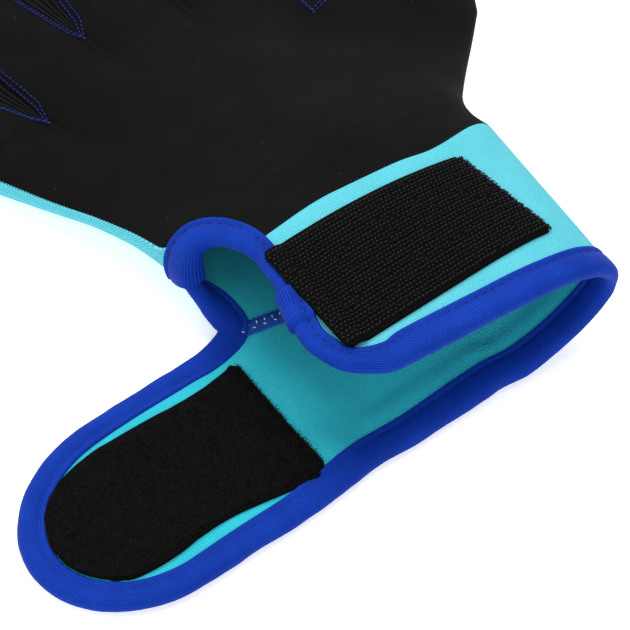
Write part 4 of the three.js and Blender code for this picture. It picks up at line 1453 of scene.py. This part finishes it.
def loop_ground():
    """Tape ground, a little uneven, with a thinner selvedge."""
    cloth = Cloth(flipped=True)
    a, b = np.meshgrid(np.linspace(0, 1, 80), np.linspace(-1, 1, 46))
    sink = -0.2 * (1 - smooth(((1 - np.abs(b)) * LOOP_WIDTH / 2 - SELVEDGE) / 0.8))
    uneven = 0.15 * soft_noise(np.stack([a * 65, b * 19, a], -1).reshape(-1, 3), 4, 2).reshape(a.shape)
    cloth.grid(loop_base(a, b, sink + uneven), np.stack([a * LOOP_LENGTH, (b + 1) * LOOP_WIDTH / 2], -1))
    return cloth.solid(LOOP_THICKNESS, 0.0, 0.6)


points, flat, faces = loop_ground()
loops_tape = make_piece("loop_tape_ground", points, faces, LOOP_GROUND_CLOTH, "loop_tape", "loop_patch", flat)


def pile():
    """Brushed loops standing and lying on the tape, each a thin curled ribbon."""
    random = np.random.default_rng(9)
    count = PILE_COUNT
    a = random.uniform(0.0, 1.0, count)
    b = random.uniform(-0.94, 0.94, count)
    at_end = random.random(count) < PILE_AT_END
    a = np.where(at_end, random.uniform(0, 0.012, count), a)
    centres = loop_base(a, b, LOOP_THICKNESS - 0.1)
    heading = random.uniform(0, 2 * math.pi, count)
    lean = random.uniform(0.35, 1.25, count)
    reach = random.uniform(0.5, 1.25, count) * np.where(at_end, 1.25, 1.0)
    turn = random.uniform(-1.3, 1.3, count)
    width = random.uniform(0.05, 0.09, count)
    points = []
    for share in (0.0, 0.4, 0.75, 1.0):
        angle = heading + turn * share
        out = reach * np.sin(lean) * share
        up = reach * np.cos(lean) * (share - 0.35 * share ** 2) + 0.05
        middle = centres + stack(np.cos(angle) * out, np.sin(angle) * out, up)
        side = stack(-np.sin(angle), np.cos(angle), 0 * angle) * (width * (1 - 0.5 * share))[:, None]
        points += [middle - side, middle + side]
    ribbon = [(0, 1, 3, 2), (2, 3, 5, 4), (4, 5, 7, 6)]
    return np.stack(points, 1).reshape(-1, 3), copies(ribbon, count, len(points))


loops = make_piece("loop_pile", *pile(), PILE, "loop_tape")


# Overlocked seam inside, over the joint of the hand and the cuff

SEAM_WIDTH = 4.5


def inner_seam_path():
    """The joint's middle line, with its directions to the fingers and to the inside."""
    degrees = np.linspace(-33, -252, 200)
    hand = hand_skin(degrees, np.full_like(degrees, 0.004))
    across, up = section_share(degrees, *(HAND_SECTIONS[0][name] for name in MOUTH_SECTION))
    flat = strap_point(-hand[:, 0], np.ones_like(degrees))
    ring = ring_at(np.degrees(np.arctan2(up, -across)) % 360, np.full_like(degrees, 0.99))
    middle = (hand + np.where((degrees > -90)[:, None], flat, ring)) / 2
    around = unit(np.gradient(middle, axis=0))
    inward = unit(np.cross(around, (0.0, 1.0, 0.0)))
    inward *= np.sign(((middle.mean(0) - middle) * inward).sum(-1).mean())
    forward = unit(np.cross(inward, around))
    return middle, forward * np.sign(forward[:, 1:2]), inward


SEAM_MIDDLE, SEAM_FORWARD, SEAM_INWARD = inner_seam_path()


def beside_seam(across, height):
    return SEAM_MIDDLE + SEAM_FORWARD * across + SEAM_INWARD * (WALL / 2 + height)


def inner_seam():
    """Low strip of thread under the overlock's loops."""
    cloth = Cloth()
    profile = ((-1, 0.05), (-0.8, 0.45), (-0.4, 0.62), (0, 0.68), (0.4, 0.62), (0.8, 0.45), (1, 0.05))
    profile = [(share * SEAM_WIDTH / 2, height) for share, height in profile]
    marks = path_marks(SEAM_MIDDLE)
    flat = [[(mark, across) for mark in marks] for across, _ in profile]
    cloth.grid([beside_seam(*place) for place in profile], flat)
    return cloth.solid(0.0, -0.5, 0.5)


points, flat, faces = inner_seam()
seam = make_piece("inner_seam", points, faces, SEAM_BASE, "seam_thread", "cuff_seam", flat)


def overlock(*rows):
    """Threads in rows of (across, height, pitch, length, radius, slant)."""
    return merged(*(thread_row(beside_seam(*row[:2]), SEAM_INWARD, *row[2:]) for row in rows))


seam_loops = overlock(
    (0.0, 0.6, 0.75, 4.4, 0.2, 82), (-1.9, 0.5, 1.5, 1.3, 0.22, 10), (1.9, 0.5, 1.5, 1.3, 0.22, -10)
)
seam_threads = make_piece("inner_seam_loops", *seam_loops, BLUE_THREAD, "seam_thread")
flecks = overlock((0.55, 0.82, 2.3, 0.9, 0.2, 62), (-0.9, 0.8, 3.1, 0.8, 0.17, -40))
seam_flecks = make_piece("inner_seam_flecks", *flecks, WHITE_THREAD, "seam_thread")


# Stitches in the cloth, laid on its outer surface: pitch, length, radius and slant

SEAM_STITCH = (0.9, 0.8, 0.12, 58)
SEAM_STITCH_SINK = 0.13
WEB_STITCH = (1.55, 1.25, 0.2, 0)
WEB_STITCH_LIFT = 0.35
WEB_ROW_OUT = 0.93
WEB_ROW_STEP = 0.085
WEB_POINT = 0.972
WEB_POINT_STEP = 0.012
WEB_ROWS = (0.0, 1.15)


def outline_seams():
    """Small dark stitches over the joints of palm, back and cuff."""
    v = np.linspace(NOTCH_AT * 1.08, 1.0, 160)
    degrees = np.linspace(NOTCH_TOP + 4, 178, 200)
    low = np.full_like(degrees, 0.002)
    groups = []
    for angle, at, level in ((side_seam(v), v, v), (degrees, low, low + 0.008)):
        normal = surface_normals(hand_skin, angle, level, 1.0, 0.004)
        path = hand_skin(angle, at) + normal * (WALL / 2 - SEAM_STITCH_SINK)
        groups.append(thread_row(path, normal, *SEAM_STITCH))
    return merged(*groups)


seam_stitches = make_piece("seam_stitches", *outline_seams(), BLACK_THREAD, "palm_neoprene")


def web_row(side, web, finger, sign, inner):
    """One row from the point between two fingers up along one of them."""
    t = np.linspace(0.02, WEB_REACH - 0.02, 60)
    rho = np.full_like(t, sign * (WEB_ROW_OUT - WEB_ROW_STEP * inner))

    def surface(r, s):
        return finger_point(side, finger, r, s)

    angle = np.array([math.degrees(math.acos(-(MARKS[2 * web + 1] + MARKS[2 * web + 2]) / 2)) * side])
    low = np.array([WEB_POINT - WEB_POINT_STEP * inner])
    normal = np.concatenate([
        surface_normals(hand_skin, angle, low, 1.0, 0.004),
        surface_normals(surface, rho, t, 0.02, 0.01) * side,
    ])
    path = np.concatenate([hand_skin(angle, low), surface(rho, t)])
    return thread_row(path + normal * (WALL / 2 + WEB_STITCH_LIFT), normal, *WEB_STITCH)


def web_stitches(side):
    """Double rows round each web, meeting in a point on the palm."""
    groups = []
    for web in range(len(FINGERS) - 1):
        for inner in WEB_ROWS:
            groups += [web_row(side, web, web, 1, inner), web_row(side, web, web + 1, -1, inner)]
    return merged(*groups)


palm_web = make_piece("palm_web_stitches", *web_stitches(1), DIM_THREAD, "palm_neoprene")
back_web = make_piece("back_web_stitches", *web_stitches(-1), BLUE_THREAD, "back_neoprene")


# What each soft piece is

def cut_of(piece):
    """Flat width and length of a closed sheet from its map, and half its surface."""
    layer = piece.data.uv_layers["cut"].data
    places = np.array([tuple(entry.uv) for entry in layer]) / 100
    width, length = places.max(0) - places.min(0)
    area = sum(p.area for p in piece.data.polygons) / 2
    return (float(width), float(length)), min(area, float(width * length) * 0.999)


SHEETS = (
    (palm, "laid", [back], [palm_web, seam_stitches]),
    (back, "laid", ["floor"], [back_web]),
    (band, "folded", ["floor"], [seam, seam_threads, seam_flecks]),
    (tape, "folded", [band], [stitches]),
    (hooks_tape, "laid", [band], [hooks, ravel]),
    (loops_tape, "laid", [band], [loops]),
)


# Stage, light and camera

FLOOR = -0.0003
FLOOR_HALF = 3.0
FLOOR_GLOW = 0.4
WORLD_STRENGTH = 0.4


def add_stage():
    mesh = bpy.data.meshes.new("floor")
    corners = [(x * FLOOR_HALF, y * FLOOR_HALF, FLOOR) for x, y in ((-1, -1), (1, -1), (1, 1), (-1, 1))]
    mesh.from_pydata(corners, [], [(0, 1, 2, 3)])
    s = Shader("paper")
    s.finish(s.ramp(s.noise(30), [(0.2, (0.93, 0.93, 0.93)), (0.8, (0.95, 0.95, 0.95))]), 0.9, 0.1)
    s.surface.inputs["Emission Color"].default_value = (1, 1, 1, 1)
    s.surface.inputs["Emission Strength"].default_value = FLOOR_GLOW
    mesh.materials.append(s.material)
    floor = bpy.data.objects.new("floor", mesh)
    bpy.context.scene.collection.objects.link(floor)


def add_light(name, place, size, power, target=(0, 0.03, 0.01)):
    data = bpy.data.lights.new(name, "AREA")
    data.shape = "RECTANGLE"
    data.size, data.size_y = size
    data.energy = power
    light = bpy.data.objects.new(name, data)
    light.location = place
    light.rotation_euler = (Vector(target) - Vector(place)).to_track_quat("-Z", "Y").to_euler()
    bpy.context.scene.collection.objects.link(light)


add_stage()
add_light("key", (0.25, 0.85, 1.0), (0.9, 0.7), 12)
add_light("top", (0.2, 0.1, 1.2), (0.7, 0.7), 7)
add_light("left", (-0.95, 0.35, 0.6), (0.6, 0.6), 3)
add_light("front", (-0.45, -0.9, 0.75), (0.8, 0.8), 8)

world = bpy.data.worlds.new("studio")
world.use_nodes = True
background = world.node_tree.nodes["Background"]
background.inputs["Color"].default_value = (1, 1, 1, 1)
background.inputs["Strength"].default_value = WORLD_STRENGTH
bpy.context.scene.world = world
bpy.context.scene.view_settings.view_transform = "Standard"

camera_data = bpy.data.cameras.new("camera")
camera_data.lens = FOCAL
camera_data.sensor_width = SENSOR
camera_data.clip_start = 0.01
camera = bpy.data.objects.new("camera", camera_data)
away = Vector((math.sin(AZIMUTH) * math.cos(ELEVATION), -math.cos(AZIMUTH) * math.cos(ELEVATION),
               math.sin(ELEVATION)))
camera.location = LOOK_AT + away * DISTANCE
camera.rotation_euler = (-away).to_track_quat("-Z", "Y").to_euler()
bpy.context.scene.collection.objects.link(camera)
bpy.context.scene.camera = camera

for piece, held, on, going in SHEETS:
    flat_size, area = cut_of(piece)
    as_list(on)
    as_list(going)
